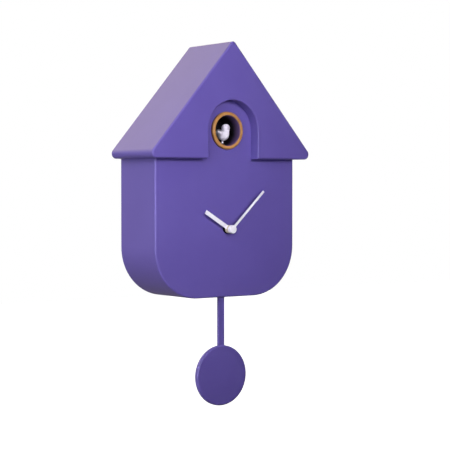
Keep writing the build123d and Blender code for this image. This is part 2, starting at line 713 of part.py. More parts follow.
liner_length = body_depth + ring_proud - ring_lip - press_gap - collar_depth
with BuildPart() as nest_tube:
    tunnel_plane = front_plane(nest_rear_depth, 0, nest_z)
    liner_plane = front_plane(collar_depth, 0, nest_z)
    shoulder_plane = front_plane(collar_depth - shoulder_thickness, 0, nest_z)
    extrude(disc(tunnel_diameter + 2 * nest_wall, tunnel_plane), amount=nest_length)
    extrude(disc(collar_diameter, shoulder_plane), amount=shoulder_thickness)
    extrude(disc(liner_diameter, liner_plane), amount=liner_length)
    extrude(disc(nest_bore, liner_plane), amount=liner_length, mode=Mode.SUBTRACT)
    extrude(
        disc(tunnel_diameter, front_plane(nest_rear_depth + nest_wall, 0, nest_z)),
        amount=nest_length - nest_wall,
        mode=Mode.SUBTRACT,
    )
    with BuildSketch(front_plane(nest_rear_depth, 0, nest_z - tunnel_diameter / 2)):
        Rectangle(arm_width + 2, 2 * (arm_height + 2 * arm_room + nest_step))
    extrude(amount=nest_wall, mode=Mode.SUBTRACT)
keep(nest_tube.part, "nest_tube")

# Movement: case with posts, cover, bush with its nut, and the coil of the step motor
coil_z = hand_z - coil_below_hands
coil_depth = plate_inside - coil_behind_plate
coil_half = coil_length / 2
stator_half = stator_width / 2
stator_front = coil_depth + core_thickness / 2
pole_low, pole_high = hand_z - pole_low_drop, hand_z - pole_high_drop
core_low, core_high = coil_z - core_height / 2, coil_z + core_height / 2
post_x, post_z = stator_half - core_height / 2, (coil_z + pole_high) / 2
inner_width, inner_height = movement_width - 2 * movement_wall, movement_height - 2 * movement_wall
inner_corner = movement_corner - movement_wall
lip_width, lip_height = inner_width - 2 * press_gap, inner_height - 2 * press_gap
with BuildPart() as movement_case:
    case_plane = front_plane(cover_inside, 0, movement_z)
    extrude(
        block(movement_width, movement_height, case_plane, movement_corner),
        amount=movement_front - cover_inside,
    )
    extrude(
        block(inner_width, inner_height, case_plane, inner_corner),
        amount=plate_inside - cover_inside,
        mode=Mode.SUBTRACT,
    )
    motion_pin_depth = motion_gear_depth - movement_wall
    motion_pin_plane = front_plane(motion_pin_depth, 0, motion_z)
    stem_boss_plane = front_plane(hour_gear_depth, 0, stem_z)
    extrude(disc(pivot_diameter, motion_pin_plane), amount=plate_inside - motion_pin_depth)
    extrude(disc(stem_boss_diameter, stem_boss_plane), amount=plate_inside - hour_gear_depth)
    for side in (-1, 1):
        post_plane = front_plane(stator_front, side * post_x, post_z)
        extrude(disc(core_height, post_plane), amount=plate_inside - stator_front)
    with Locations(back_plane(hour_gear_depth, 0, stem_z)):
        Hole(pivot_diameter / 2 + run_gap, depth=plate_inside - hour_gear_depth)
    with Locations(front_plane(movement_front, 0, hand_z)):
        Hole(bush_diameter / 2 + press_gap, depth=2 * movement_wall)
with BuildPart() as movement_cover:
    cover_plane = front_plane(movement_back, 0, movement_z)
    lip_plane = front_plane(cover_inside, 0, movement_z)
    lip_inside_width, lip_inside_height = lip_width - 2 * cover_lip_wall, lip_height - 2 * cover_lip_wall
    lip_bore = block(lip_inside_width, lip_inside_height, lip_plane, inner_corner - cover_lip_wall)
    extrude(block(movement_width, movement_height, cover_plane, movement_corner), amount=movement_wall)
    extrude(block(lip_width, lip_height, lip_plane, inner_corner), amount=cover_lip_height)
    extrude(lip_bore, amount=cover_lip_height, mode=Mode.SUBTRACT)
    extrude(disc(pivot_boss, front_plane(cover_inside, 0, hand_z)), amount=cover_lip_height)
    with Locations(front_plane(cover_inside + cover_lip_height, 0, hand_z)):
        Hole(pivot_diameter / 2 + run_gap, depth=cover_lip_height + movement_wall / 2)
    with Locations(front_plane(cover_inside, 0, stem_z)):
        Hole(stem_diameter / 2 + run_gap)
with BuildPart() as threaded_bush:
    flange_plane = front_plane(plate_inside - bush_flange_thickness, 0, hand_z)
    extrude(disc(bush_flange_diameter, flange_plane), amount=bush_flange_thickness)
    extrude(disc(bush_diameter, front_plane(plate_inside, 0, hand_z)), amount=bush_front - plate_inside)
    chamfer(threaded_bush.edges().sort_by(Axis.Y)[0], fit_gap)
    with Locations(front_plane(bush_front, 0, hand_z)):
        Hole(pipe_diameter / 2 + run_gap)
with BuildPart() as bush_gasket:
    gasket_plane = front_plane(movement_front, 0, hand_z)
    extrude(disc(gasket_diameter, gasket_plane, bush_diameter + 2 * fit_gap), amount=gasket_thickness)
with BuildPart() as bush_washer:
    washer_plane = front_plane(body_depth, 0, hand_z)
    extrude(disc(washer_diameter, washer_plane, bush_diameter + fit_gap), amount=washer_height)
with BuildPart() as bush_nut:
    with BuildSketch(front_plane(body_depth + washer_height, 0, hand_z)):
        RegularPolygon(nut_across_flats / 2, 6, major_radius=False)
        Circle(bush_diameter / 2 + press_gap, mode=Mode.SUBTRACT)
    extrude(amount=nut_height)
with BuildPart() as step_coil:
    coil_plane = side_plane(-coil_half, coil_depth, coil_z)
    extrude(disc(coil_diameter, coil_plane), amount=coil_length)
    for x in (-coil_half, coil_half - coil_flange):
        extrude(disc(coil_flange_diameter, side_plane(x, coil_depth, coil_z)), amount=coil_flange)
    extrude(
        block(core_thickness + 2 * press_gap, core_height + 2 * press_gap, coil_plane),
        amount=coil_length,
        mode=Mode.SUBTRACT,
    )
with BuildPart() as step_stator:
    with BuildSketch(front_plane(stator_front - core_thickness)):
        with Locations((0, (core_low + pole_high) / 2)):
            Rectangle(stator_width, pole_high - core_low)
        with Locations((0, (core_high + pole_low) / 2)):
            Rectangle(stator_width - 2 * core_height, pole_low - core_high, mode=Mode.SUBTRACT)
        with Locations((-stator_half / 2, (pole_low + pole_high) / 2)):
            Circle(rotor_hole / 2, mode=Mode.SUBTRACT)
    extrude(amount=core_thickness)
keep(movement_case.part, "movement_case")
keep(movement_cover.part, "movement_cover")
keep(threaded_bush.part, "threaded_bush")
keep(bush_gasket.part, "bush_gasket")
keep(bush_washer.part, "bush_washer")
keep(bush_nut.part, "bush_nut")
keep(step_coil.part, "step_coil")
keep(step_stator.part, "step_stator")

# Motion work: the arbor turns once an hour and drives the hour wheel twelve times slower
motion_bore = pivot_diameter + 2 * run_gap
knob_inside = knob_depth + knob_cap
stem_front = hour_gear_depth - 2 * pinion_margin
with BuildPart() as centre_arbor:
    arbor_depth = cover_inside + pivot_length
    extrude(disc(pivot_diameter, front_plane(cover_inside, 0, hand_z)), amount=pivot_length)
    extrude(
        disc(arbor_diameter, front_plane(arbor_depth, 0, hand_z)),
        amount=minute_hub_front - hub_gap - arbor_depth,
    )
    cannon_plane = front_plane(cannon_depth, 0, hand_z)
    extrude(gear_face(cannon_teeth, 90, cannon_plane, pivot_diameter), amount=cannon_height)
with BuildPart() as minute_wheel:
    wheel_plane = front_plane(motion_gear_depth, 0, motion_z)
    pinion_plane = front_plane(motion_gear_depth + wheel_height, 0, motion_z)
    wheel_turn = 270 + 180 / motion_teeth
    extrude(gear_face(motion_teeth, wheel_turn, wheel_plane, motion_bore), amount=wheel_height)
    extrude(
        gear_face(motion_pinion_teeth, 270, pinion_plane, motion_bore),
        amount=hour_gear_depth - motion_gear_depth,
    )
with BuildPart() as hour_wheel:
    hour_plane = front_plane(hour_gear_depth, 0, hand_z)
    pipe_length = hour_hub_front - hub_web - hour_gear_depth
    extrude(gear_face(hour_teeth, 90 + 180 / hour_teeth, hour_plane, arbor_diameter), amount=wheel_height)
    extrude(disc(pipe_diameter, hour_plane), amount=pipe_length)
    with Locations(front_plane(case_depth, 0, hand_z)):
        Hole(arbor_diameter / 2 + run_gap)
with BuildPart() as setting_stem:
    stem_pinion_plane = front_plane(cannon_depth, 0, stem_z)
    extrude(disc(stem_diameter, front_plane(knob_inside, 0, stem_z)), amount=stem_front - knob_inside)
    extrude(gear_face(setting_teeth, 270, stem_pinion_plane, pivot_diameter), amount=cannon_height)
    extrude(disc(pivot_diameter, stem_pinion_plane), amount=plate_inside - fit_gap - cannon_depth)
with BuildPart() as setting_knob:
    with BuildSketch(front_plane(knob_depth, 0, stem_z)):
        Circle(knob_diameter / 2)
        with PolarLocations((knob_diameter + flute_diameter / 2) / 2, knob_flutes):
            Circle(flute_diameter / 2, mode=Mode.SUBTRACT)
    extrude(amount=knob_height)
    with Locations(front_plane(knob_depth + knob_height, 0, stem_z)):
        Hole(stem_diameter / 2 + press_gap, depth=knob_height - knob_cap)
keep(centre_arbor.part, "centre_arbor")
keep(minute_wheel.part, "minute_wheel")
keep(hour_wheel.part, "hour_wheel")
keep(setting_stem.part, "setting_stem")
keep(setting_knob.part, "setting_knob")

# Hands: flat bars on round hubs, the hour hand on the pipe and the minute hand on the arbor
with BuildPart() as hour_hand:
    hour_blade_depth = hour_hub_depth + hour_blade_rise
    extrude(disc(hub_diameter, front_plane(hour_hub_depth, 0, hand_z)), amount=hour_hub_height)
    extrude(hand_face(hour_width, hour_length, hour_angle, hour_blade_depth), amount=blade_thickness)
    with Locations(front_plane(hour_hub_front, 0, hand_z)):
        Hole(arbor_diameter / 2 + fit_gap)
    with Locations(back_plane(hour_hub_depth, 0, hand_z)):
        Hole(pipe_diameter / 2 + press_gap, depth=hour_hub_height - hub_web)
with BuildPart() as minute_hand:
    minute_blade_depth = minute_hub_depth + minute_blade_rise
    extrude(disc(hub_diameter, front_plane(minute_hub_depth, 0, hand_z)), amount=minute_hub_height)
    extrude(hand_face(minute_width, minute_length, minute_angle, minute_blade_depth), amount=blade_thickness)
    with Locations(back_plane(minute_hub_depth, 0, hand_z)):
        Hole(arbor_diameter / 2 + press_gap)
with BuildPart() as hand_cap:
    extrude(disc(hub_diameter, front_plane(minute_hub_front, 0, hand_z)), amount=cap_height)
    fillet(hand_cap.edges().sort_by(Axis.Y)[0], 0.8 * cap_height)
keep(hour_hand.part, "hour_hand")
keep(minute_hand.part, "minute_hand")
keep(hand_cap.part, "hand_cap")

# Pendulum: a hat-shaped bracket carries the pin, the hanger swings on it and the rod hooks on
bracket_low = pivot_z - bracket_below_pivot
bracket_high = pivot_z + magnet_rise + bracket_above_magnet
bracket_inside = bracket_half - bracket_sheet
bracket_front = bracket_back + bracket_sheet
ear_reach = bracket_boss_x + boss_diameter / 2 + ear_margin
ear_back = bracket_boss_depth - bracket_sheet
ear_height = 2 * bracket_below_pivot
hanger_front = hanger_depth + hanger_thickness
rod_back = pendulum_depth - rod_thickness / 2
peg_z = pivot_z - peg_drop
magnet_z = pivot_z + magnet_rise
rod_low = bob_z + bob_diameter / 2 - bob_socket
rod_high = peg_z + peg_diameter
with BuildPart() as pendulum_bracket:
    web_plane = front_plane(bracket_back, 0, (bracket_low + bracket_high) / 2)
    extrude(block(2 * bracket_half, bracket_high - bracket_low, web_plane), amount=bracket_sheet)
    for side in (-1, 1):
        leg_plane = front_plane(bracket_back, side * (bracket_half - bracket_sheet / 2), pivot_z)
        ear_plane = front_plane(ear_back, side * (bracket_inside + ear_reach) / 2, pivot_z)
        extrude(block(bracket_sheet, ear_height, leg_plane), amount=bracket_boss_depth - bracket_back)
        extrude(block(ear_reach - bracket_inside, ear_height, ear_plane), amount=bracket_sheet)
        with Locations(front_plane(bracket_boss_depth, side * bracket_boss_x, pivot_z)):
            Hole(screw_diameter / 2 + fit_gap, depth=2 * bracket_sheet)
    with Locations(front_plane(bracket_front, 0, pivot_z)):
        Hole(pendulum_pin_diameter / 2 + press_gap, depth=2 * bracket_sheet)
with BuildPart() as pendulum_pin:
    pin_head_plane = front_plane(bracket_back - pin_head, 0, pivot_z)
    extrude(disc(2 * pendulum_pin_diameter, pin_head_plane), amount=pin_head)
    extrude(
        disc(pendulum_pin_diameter, front_plane(bracket_back, 0, pivot_z)),
        amount=hanger_front + pin_tail - bracket_back,
    )
with BuildPart() as pivot_clip:
    with BuildSketch(front_plane(hanger_front + fit_gap, 0, pivot_z)):
        Circle(pendulum_pin_diameter / 2 + clip_rim)
        Circle(pendulum_pin_diameter / 2 + press_gap, mode=Mode.SUBTRACT)
        with Locations((0, -pendulum_pin_diameter)):
            Rectangle(clip_gap, 2 * pendulum_pin_diameter, mode=Mode.SUBTRACT)
    extrude(amount=clip_thickness)
with BuildPart() as pendulum_hanger:
    with BuildSketch(front_plane(hanger_depth)):
        with Locations((0, pivot_z)):
            Circle(hanger_hub / 2 + hanger_hub_rim)
        with Locations((0, magnet_z)):
            Circle(magnet_diameter / 2 + magnet_rim)
        with Locations((0, peg_z)):
            Circle(peg_diameter / 2 + peg_rim)
        with Locations((0, (magnet_z + peg_z) / 2)):
            Rectangle(hanger_width, magnet_rise + peg_drop)
    extrude(amount=hanger_thickness)
    hub_back = bracket_front + fit_gap
    extrude(disc(hanger_hub, front_plane(hub_back, 0, pivot_z)), amount=hanger_depth - hub_back)
    peg_back = rod_back - pin_head / 2
    extrude(disc(peg_diameter, front_plane(peg_back, 0, peg_z)), amount=hanger_depth - peg_back)
    with Locations(front_plane(hanger_front, 0, pivot_z)):
        Hole(pendulum_pin_diameter / 2 + run_gap)
with BuildPart() as pendulum_magnet:
    extrude(disc(magnet_diameter, back_plane(hanger_depth, 0, magnet_z)), amount=magnet_thickness)
with BuildPart() as pendulum_coil:
    winding_plane = front_plane(bracket_front, 0, magnet_z)
    extrude(disc(drive_coil_diameter, winding_plane, drive_coil_bore), amount=drive_coil_height)
with BuildPart() as pendulum_rod:
    with BuildSketch(front_plane(rod_back)):
        with Locations((0, (rod_low + rod_high) / 2)):
            Rectangle(rod_width, rod_high - rod_low)
        with Locations((0, rod_high)):
            Circle(rod_width / 2)
        with Locations((0, peg_z)):
            Circle(peg_diameter / 2 + press_gap, mode=Mode.SUBTRACT)
    extrude(amount=rod_thickness)
with BuildPart() as pendulum_bob:
    bob_plane = front_plane(pendulum_depth - bob_thickness / 2, 0, bob_z)
    extrude(disc(bob_diameter, bob_plane), amount=bob_thickness)
    fillet(pendulum_bob.edges().filter_by(GeomType.CIRCLE), bob_round)
    with BuildSketch(floor_plane(rod_low)):
        with Locations((0, -pendulum_depth)):
            Rectangle(rod_width + 2 * press_gap, rod_thickness + 2 * press_gap)
    extrude(amount=2 * bob_socket, mode=Mode.SUBTRACT)
keep(pendulum_bracket.part, "pendulum_bracket")
keep(pendulum_pin.part, "pendulum_pin")
keep(pivot_clip.part, "pivot_clip")
keep(pendulum_hanger.part, "pendulum_hanger")
keep(pendulum_magnet.part, "pendulum_magnet")
keep(pendulum_coil.part, "pendulum_coil")
keep(pendulum_rod.part, "pendulum_rod")
keep(pendulum_bob.part, "pendulum_bob")
bracket_screw_planes = [back_plane(ear_back, side * bracket_boss_x, pivot_z) for side in (-1, 1)]
keep(screw_group(bracket_screw_planes, bracket_screw_length), "bracket_screws")

# Bird drive: a bracket with grooved rails, a rack carriage, a two-step gear and a small motor
rail_inside = carriage_width / 2 + fit_gap
rail_half = rail_inside + rail_wall
rail_rear = rack_rear + rail_inset
flange_rear = drive_boss_depth - bracket_sheet
flange_reach = drive_boss_x + boss_diameter / 2 + ear_margin
rail_length = flange_rear - rail_rear
rail_middle = (flange_rear + rail_rear) / 2
shelf_high = drive_z - drive_teeth * gear_module / 2 - addendum - shelf_room
shelf_low = shelf_high - shelf_thickness
shelf_left = -rail_half - shelf_margin
shelf_right = motor_x + motor_length + shelf_margin
cradle_high = drive_z + cradle_rise
flange_high = drive_z + flange_rise
gear_way = pinion_radius + addendum + gear_way_room
pinion_half = rail_inside - pinion_side_gap
axle_bore = axle_diameter + 2 * run_gap
axle_length = rail_half + ear_x + ear_width
can_length = motor_length - endcap_length
rack_pitch = pi * gear_module
with BuildPart() as bird_bracket:
    flange_plane = front_plane(flange_rear, 0, (shelf_low + flange_high) / 2)
    extrude(block(2 * flange_reach, flange_high - shelf_low, flange_plane), amount=bracket_sheet)
    with BuildSketch(floor_plane(shelf_low)):
        with Locations(((shelf_left + shelf_right) / 2, -rail_middle)):
            Rectangle(shelf_right - shelf_left, rail_length)
    extrude(amount=shelf_thickness)
    with BuildSketch(floor_plane(shelf_high)):
        with Locations((ear_x + ear_width / 2, -pinion_depth)):
            Rectangle(ear_width, ear_length)
        with Locations((motor_x + motor_length / 2, -motor_depth)):
            Rectangle(motor_length - 2 * cradle_inset, motor_diameter + 2 * cradle_wall)
    extrude(amount=cradle_high - shelf_high)
    with BuildSketch(floor_plane(shelf_high)):
        for side in (-1, 1):
            with Locations((side * (rail_inside + rail_wall / 2), -rail_middle)):
                Rectangle(rail_wall, rail_length)
    extrude(amount=carriage_high - shelf_high)
    groove_width = carriage_width + 2 * (tongue_reach + fit_gap)
    extrude(
        block(groove_width, tongue_height + 2 * run_gap, front_plane(rail_rear, 0, tongue_z)),
        amount=rail_length + bracket_sheet,
        mode=Mode.SUBTRACT,
    )
    with BuildSketch(side_plane(rail_inside, pinion_depth, drive_z)):
        Circle(gear_way)
        Rectangle(2 * gear_way, drive_z - shelf_high, align=(Align.CENTER, Align.MAX))
    extrude(amount=rail_wall, mode=Mode.SUBTRACT)
    extrude(
        disc(motor_diameter + 2 * press_gap, side_plane(motor_x, motor_depth, drive_z)),
        amount=motor_length,
        mode=Mode.SUBTRACT,
    )
    extrude(
        disc(axle_diameter + 2 * press_gap, side_plane(-rail_half, pinion_depth, drive_z)),
        amount=axle_length,
        mode=Mode.SUBTRACT,
    )
    for side in (-1, 1):
        with Locations(front_plane(drive_boss_depth, side * drive_boss_x, drive_boss_z)):
            Hole(screw_diameter / 2 + fit_gap, depth=2 * bracket_sheet)
with BuildPart() as gear_axle:
    extrude(disc(axle_diameter, side_plane(-rail_half, pinion_depth, drive_z)), amount=axle_length)
with BuildPart() as drive_gear:
    rack_pinion_plane = side_plane(-pinion_half, pinion_depth, drive_z)
    spacer_plane = side_plane(pinion_half, pinion_depth, drive_z)
    drive_wheel_plane = side_plane(drive_gear_x, pinion_depth, drive_z)
    spacer_diameter = 2 * (pinion_radius - dedendum - spacer_step)
    extrude(gear_face(pinion_teeth, 90, rack_pinion_plane, axle_bore), amount=2 * pinion_half)
    extrude(disc(spacer_diameter, spacer_plane, axle_bore), amount=ear_x - fit_gap - pinion_half)
    extrude(gear_face(drive_teeth, 0, drive_wheel_plane, axle_bore), amount=drive_gear_width)
with BuildPart() as motor_pinion:
    motor_pinion_plane = side_plane(drive_gear_x - motor_pinion_margin, motor_depth, drive_z)
    motor_pinion_turn = 180 + 180 / motor_teeth
    extrude(
        gear_face(motor_teeth, motor_pinion_turn, motor_pinion_plane, shaft_diameter / 2),
        amount=drive_gear_width + 2 * motor_pinion_margin,
    )
    extrude(disc(shaft_diameter, motor_pinion_plane), amount=motor_x + motor_length / 2 - drive_gear_x)
with BuildPart() as motor_can:
    extrude(disc(motor_diameter, side_plane(motor_x, motor_depth, drive_z)), amount=can_length)
    with Locations(side_plane(motor_x + can_length, motor_depth, drive_z)):
        Hole(shaft_diameter / 2 + run_gap)
with BuildPart() as motor_endcap:
    endcap_plane = side_plane(motor_x + can_length, motor_depth, drive_z)
    extrude(disc(motor_diameter - 2 * endcap_step, endcap_plane), amount=endcap_length)
    extrude(disc(endcap_boss_diameter, endcap_plane), amount=endcap_length + endcap_boss_height)
with BuildPart() as bird_carriage:
    with BuildSketch(front_plane(rack_rear, 0, tongue_z)):
        Rectangle(carriage_width, carriage_height)
        Rectangle(carriage_width + 2 * tongue_reach, tongue_height)
    extrude(amount=rack_front - rack_rear)
    root_half, tip_half = tooth_root * rack_pitch / 2, tooth_tip * rack_pitch / 2
    teeth_behind = int((pinion_depth - rack_rear) / rack_pitch - 0.5)
    teeth_ahead = int((rack_front - pinion_depth) / rack_pitch - 0.5)
    with BuildSketch(side_plane(-pinion_half, pinion_depth, carriage_low)):
        for tooth in range(-teeth_behind, teeth_ahead + 1):
            with Locations((-(tooth + 0.5) * rack_pitch, 0)):
                Polygon(
                    (-root_half, tooth_root),
                    (-root_half, 0),
                    (-tip_half, -addendum - dedendum),
                    (tip_half, -addendum - dedendum),
                    (root_half, 0),
                    (root_half, tooth_root),
                    align=None,
                )
    extrude(amount=2 * pinion_half)
arm_low = nest_z - nest_bore / 2 + arm_room
arm_high = arm_low + arm_height
arm_front = body_depth - arm_behind_dial
with BuildPart() as bird_arm:
    with BuildSketch(side_plane(-arm_width / 2)):
        with BuildLine():
            Polyline(
                (-rack_rear, carriage_high),
                (-rack_rear, arm_high),
                (-arm_front, arm_high),
                (-arm_front, arm_low),
                (-rack_rear - arm_post, arm_low),
                (-rack_rear - arm_post, carriage_high),
                close=True,
            )
        make_face()
    extrude(amount=arm_width)
keep(bird_bracket.part, "bird_bracket")
keep(gear_axle.part, "gear_axle")
keep(drive_gear.part, "drive_gear")
keep(motor_pinion.part, "motor_pinion")
keep(motor_can.part, "motor_can")
keep(motor_endcap.part, "motor_endcap")
keep(bird_carriage.part, "bird_carriage")
keep(bird_arm.part, "bird_arm")
drive_screw_planes = [back_plane(flange_rear, side * drive_boss_x, drive_boss_z) for side in (-1, 1)]
keep(screw_group(drive_screw_planes, bracket_screw_length), "bird_bracket_screws")

# Bird: round head and belly, short beak, raised tail and one peg to stand on
head_depth, head_z = body_depth - head_behind_dial, nest_z + head_above_nest
belly_depth, belly_z = body_depth - belly_behind_dial, nest_z - belly_below_nest
tail_depth, tail_z = body_depth - tail_behind_dial, nest_z - tail_below_nest
belly_half = belly_length / 2
flank_half = belly_half - belly_radius
with BuildPart() as bird_tail:
    with BuildSketch(side_plane(-tail_width / 2)) as tail_outline:
        with BuildLine():
            Polyline(
                (-belly_depth, belly_z - tail_root_height / 2),
                (-belly_depth, belly_z + tail_root_height / 2),
                (-tail_depth, tail_z + tail_height / 2),
                (-tail_depth, tail_z - tail_height / 2),
                close=True,
            )
        make_face()
        fillet(tail_outline.vertices().group_by(Axis.X)[-1], tail_round)
    extrude(amount=tail_width)
    fillet(bird_tail.faces().filter_by(Axis.X).edges(), tail_edge_round)
with BuildPart() as bird_body:
    with BuildSketch(side_plane(0, belly_depth, belly_z)):
        with BuildLine():
            RadiusArc((-belly_half, 0), (-flank_half, belly_radius), belly_radius)
            Line((-flank_half, belly_radius), (flank_half, belly_radius))
            RadiusArc((flank_half, belly_radius), (belly_half, 0), belly_radius)
            Line((belly_half, 0), (-belly_half, 0))
        make_face()
    revolve(axis=Axis((0, -belly_depth, belly_z), (0, 1, 0)))
    with Locations((0, -head_depth, head_z)):
        Sphere(head_radius)
    beak_plane = front_plane(head_depth + beak_root * head_radius, 0, head_z - beak_drop)
    extrude(disc(beak_diameter, beak_plane), amount=beak_length, taper=beak_taper)
    add(bird_tail.part)
    with BuildSketch(floor_plane(arm_high)):
        with Locations((0, -arm_front + leg_inset)):
            Circle(leg_diameter / 2)
    extrude(amount=belly_z - arm_high)
keep(bird_body.part, "bird_body")
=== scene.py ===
"""Looks for a house-shaped wall cuckoo clock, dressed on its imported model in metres."""

import logging
from collections.abc import Callable
from dataclasses import dataclass, replace
from enum import Enum
from math import cos, pi, radians, sin

import bmesh
import bpy
from mathutils import Euler, Matrix, Vector


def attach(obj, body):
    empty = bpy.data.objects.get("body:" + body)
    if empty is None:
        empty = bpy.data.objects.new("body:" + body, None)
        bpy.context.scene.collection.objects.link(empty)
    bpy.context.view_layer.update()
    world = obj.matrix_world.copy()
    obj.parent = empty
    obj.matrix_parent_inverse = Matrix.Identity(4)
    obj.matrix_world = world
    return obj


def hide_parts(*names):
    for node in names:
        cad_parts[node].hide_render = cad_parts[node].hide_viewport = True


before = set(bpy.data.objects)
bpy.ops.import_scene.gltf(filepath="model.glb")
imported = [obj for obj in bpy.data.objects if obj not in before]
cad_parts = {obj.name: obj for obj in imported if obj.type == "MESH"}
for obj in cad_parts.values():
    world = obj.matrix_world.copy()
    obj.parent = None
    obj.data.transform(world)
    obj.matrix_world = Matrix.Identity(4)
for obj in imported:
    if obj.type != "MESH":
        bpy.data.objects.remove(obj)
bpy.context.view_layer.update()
LOG = logging.getLogger("cuckoo_clock")

Pair = tuple[float, float]
Point = tuple[float, float, float]
Colour = tuple[float, float, float, float]
Socket = bpy.types.NodeSocket
Inputs = dict[str | int, object]

MM = 0.001
NEST_Z = -50.921
BLANK: Colour = (1.0, 1.0, 1.0, 1.0)

# Edges of the new pieces: what counts as one point, as flat, as sharp and as creased.
WELD = 0.002 * MM
FLAT_BELOW = radians(0.5)
SHARP_ABOVE = radians(35)
CREASED_ABOVE = radians(40)
BEVEL_STEPS = 2
TURN_STEPS = 128
ARC_STEPS = 8

# In one unit a wave texture turns 20 radians, about 3.2 waves, and a brick texture lays 4 rows.
WAVE_RADIANS = 20.0
WAVES = 3.2
BRICK_ROWS = 4.0


class Tone(Enum):
    """Colours of the clock's materials, and of painted shade and painted light on them, as 0 to
    255 values on screen.
    """

    VIOLET = (96, 82, 157)
    VIOLET_DEEP = (93, 79, 153)
    VIOLET_RUB = (132, 117, 196)
    PLUM = (66, 57, 94)
    PLUM_DEEP = (61, 52, 88)
    PLUM_RUB = (98, 88, 128)
    OCHRE = (192, 141, 82)
    OCHRE_DEEP = (168, 116, 62)
    OCHRE_RUB = (222, 182, 122)
    CHALK = (243, 239, 246)
    CHALK_DEEP = (231, 226, 235)
    FEATHER = (228, 221, 233)
    FEATHER_DEEP = (214, 206, 220)
    SOOT = (18, 17, 21)
    SOOT_DEEP = (12, 11, 15)
    SOOT_RUB = (46, 44, 50)
    SLATE = (92, 92, 98)
    SLATE_DEEP = (80, 80, 86)
    BONE = (222, 214, 192)
    BONE_DEEP = (208, 199, 174)
    ZINC = (196, 197, 202)
    ZINC_DEEP = (168, 169, 176)
    BRASS = (214, 180, 104)
    BRASS_DEEP = (186, 148, 78)
    COPPER = (190, 106, 62)
    COPPER_DEEP = (150, 74, 40)
    FERRITE = (62, 61, 64)
    FERRITE_DEEP = (46, 45, 48)
    PULP = (44, 41, 40)
    PULP_DEEP = (30, 28, 28)
    MASK = (28, 92, 48)
    MASK_TRACK = (44, 124, 62)
    SLEEVE = (30, 36, 66)
    SLEEVE_BAND = (176, 180, 190)
    RUBBER = (24, 24, 25)
    RUBBER_DEEP = (16, 16, 17)
    # Painted shade: brown darkening of the nest ring's foot.
    FOOT_SHADE = (70, 38, 28)
    BEIGE = (206, 194, 160)
    BLACKENED = (44, 38, 34)
    BLACKENED_DEEP = (26, 22, 20)
    # Painted light: lighter plum of the nest tunnel's mouth.
    MOUTH_LIGHT = (101, 78, 122)

    @property
    def linear(self) -> Colour:
        """Turn the tone into light.

        Returns:
            Scene-linear red, green, blue and alpha.
        """
        parts = [v / 255 for v in self.value]
        red, green, blue = (
            v / 12.92 if v <= 0.04045 else ((v + 0.055) / 1.055) ** 2.4 for v in parts
        )
        return (red, green, blue, 1.0)


class Lay(Enum):
    """Which way the tool marks of a metal run: the scale of its noise along X, Y and Z."""

    TURNED = (1.0, 14.0, 1.0)
    DRAWN = (0.08, 1.0, 1.0)
    CAST = (1.0, 1.0, 1.0)


class Facing(Enum):
    """Where a screw's head looks, as the turn that takes +Z there."""

    WALL = (-pi / 2, 0.0, 0.0)
    FRONT = (pi / 2, 0.0, 0.0)


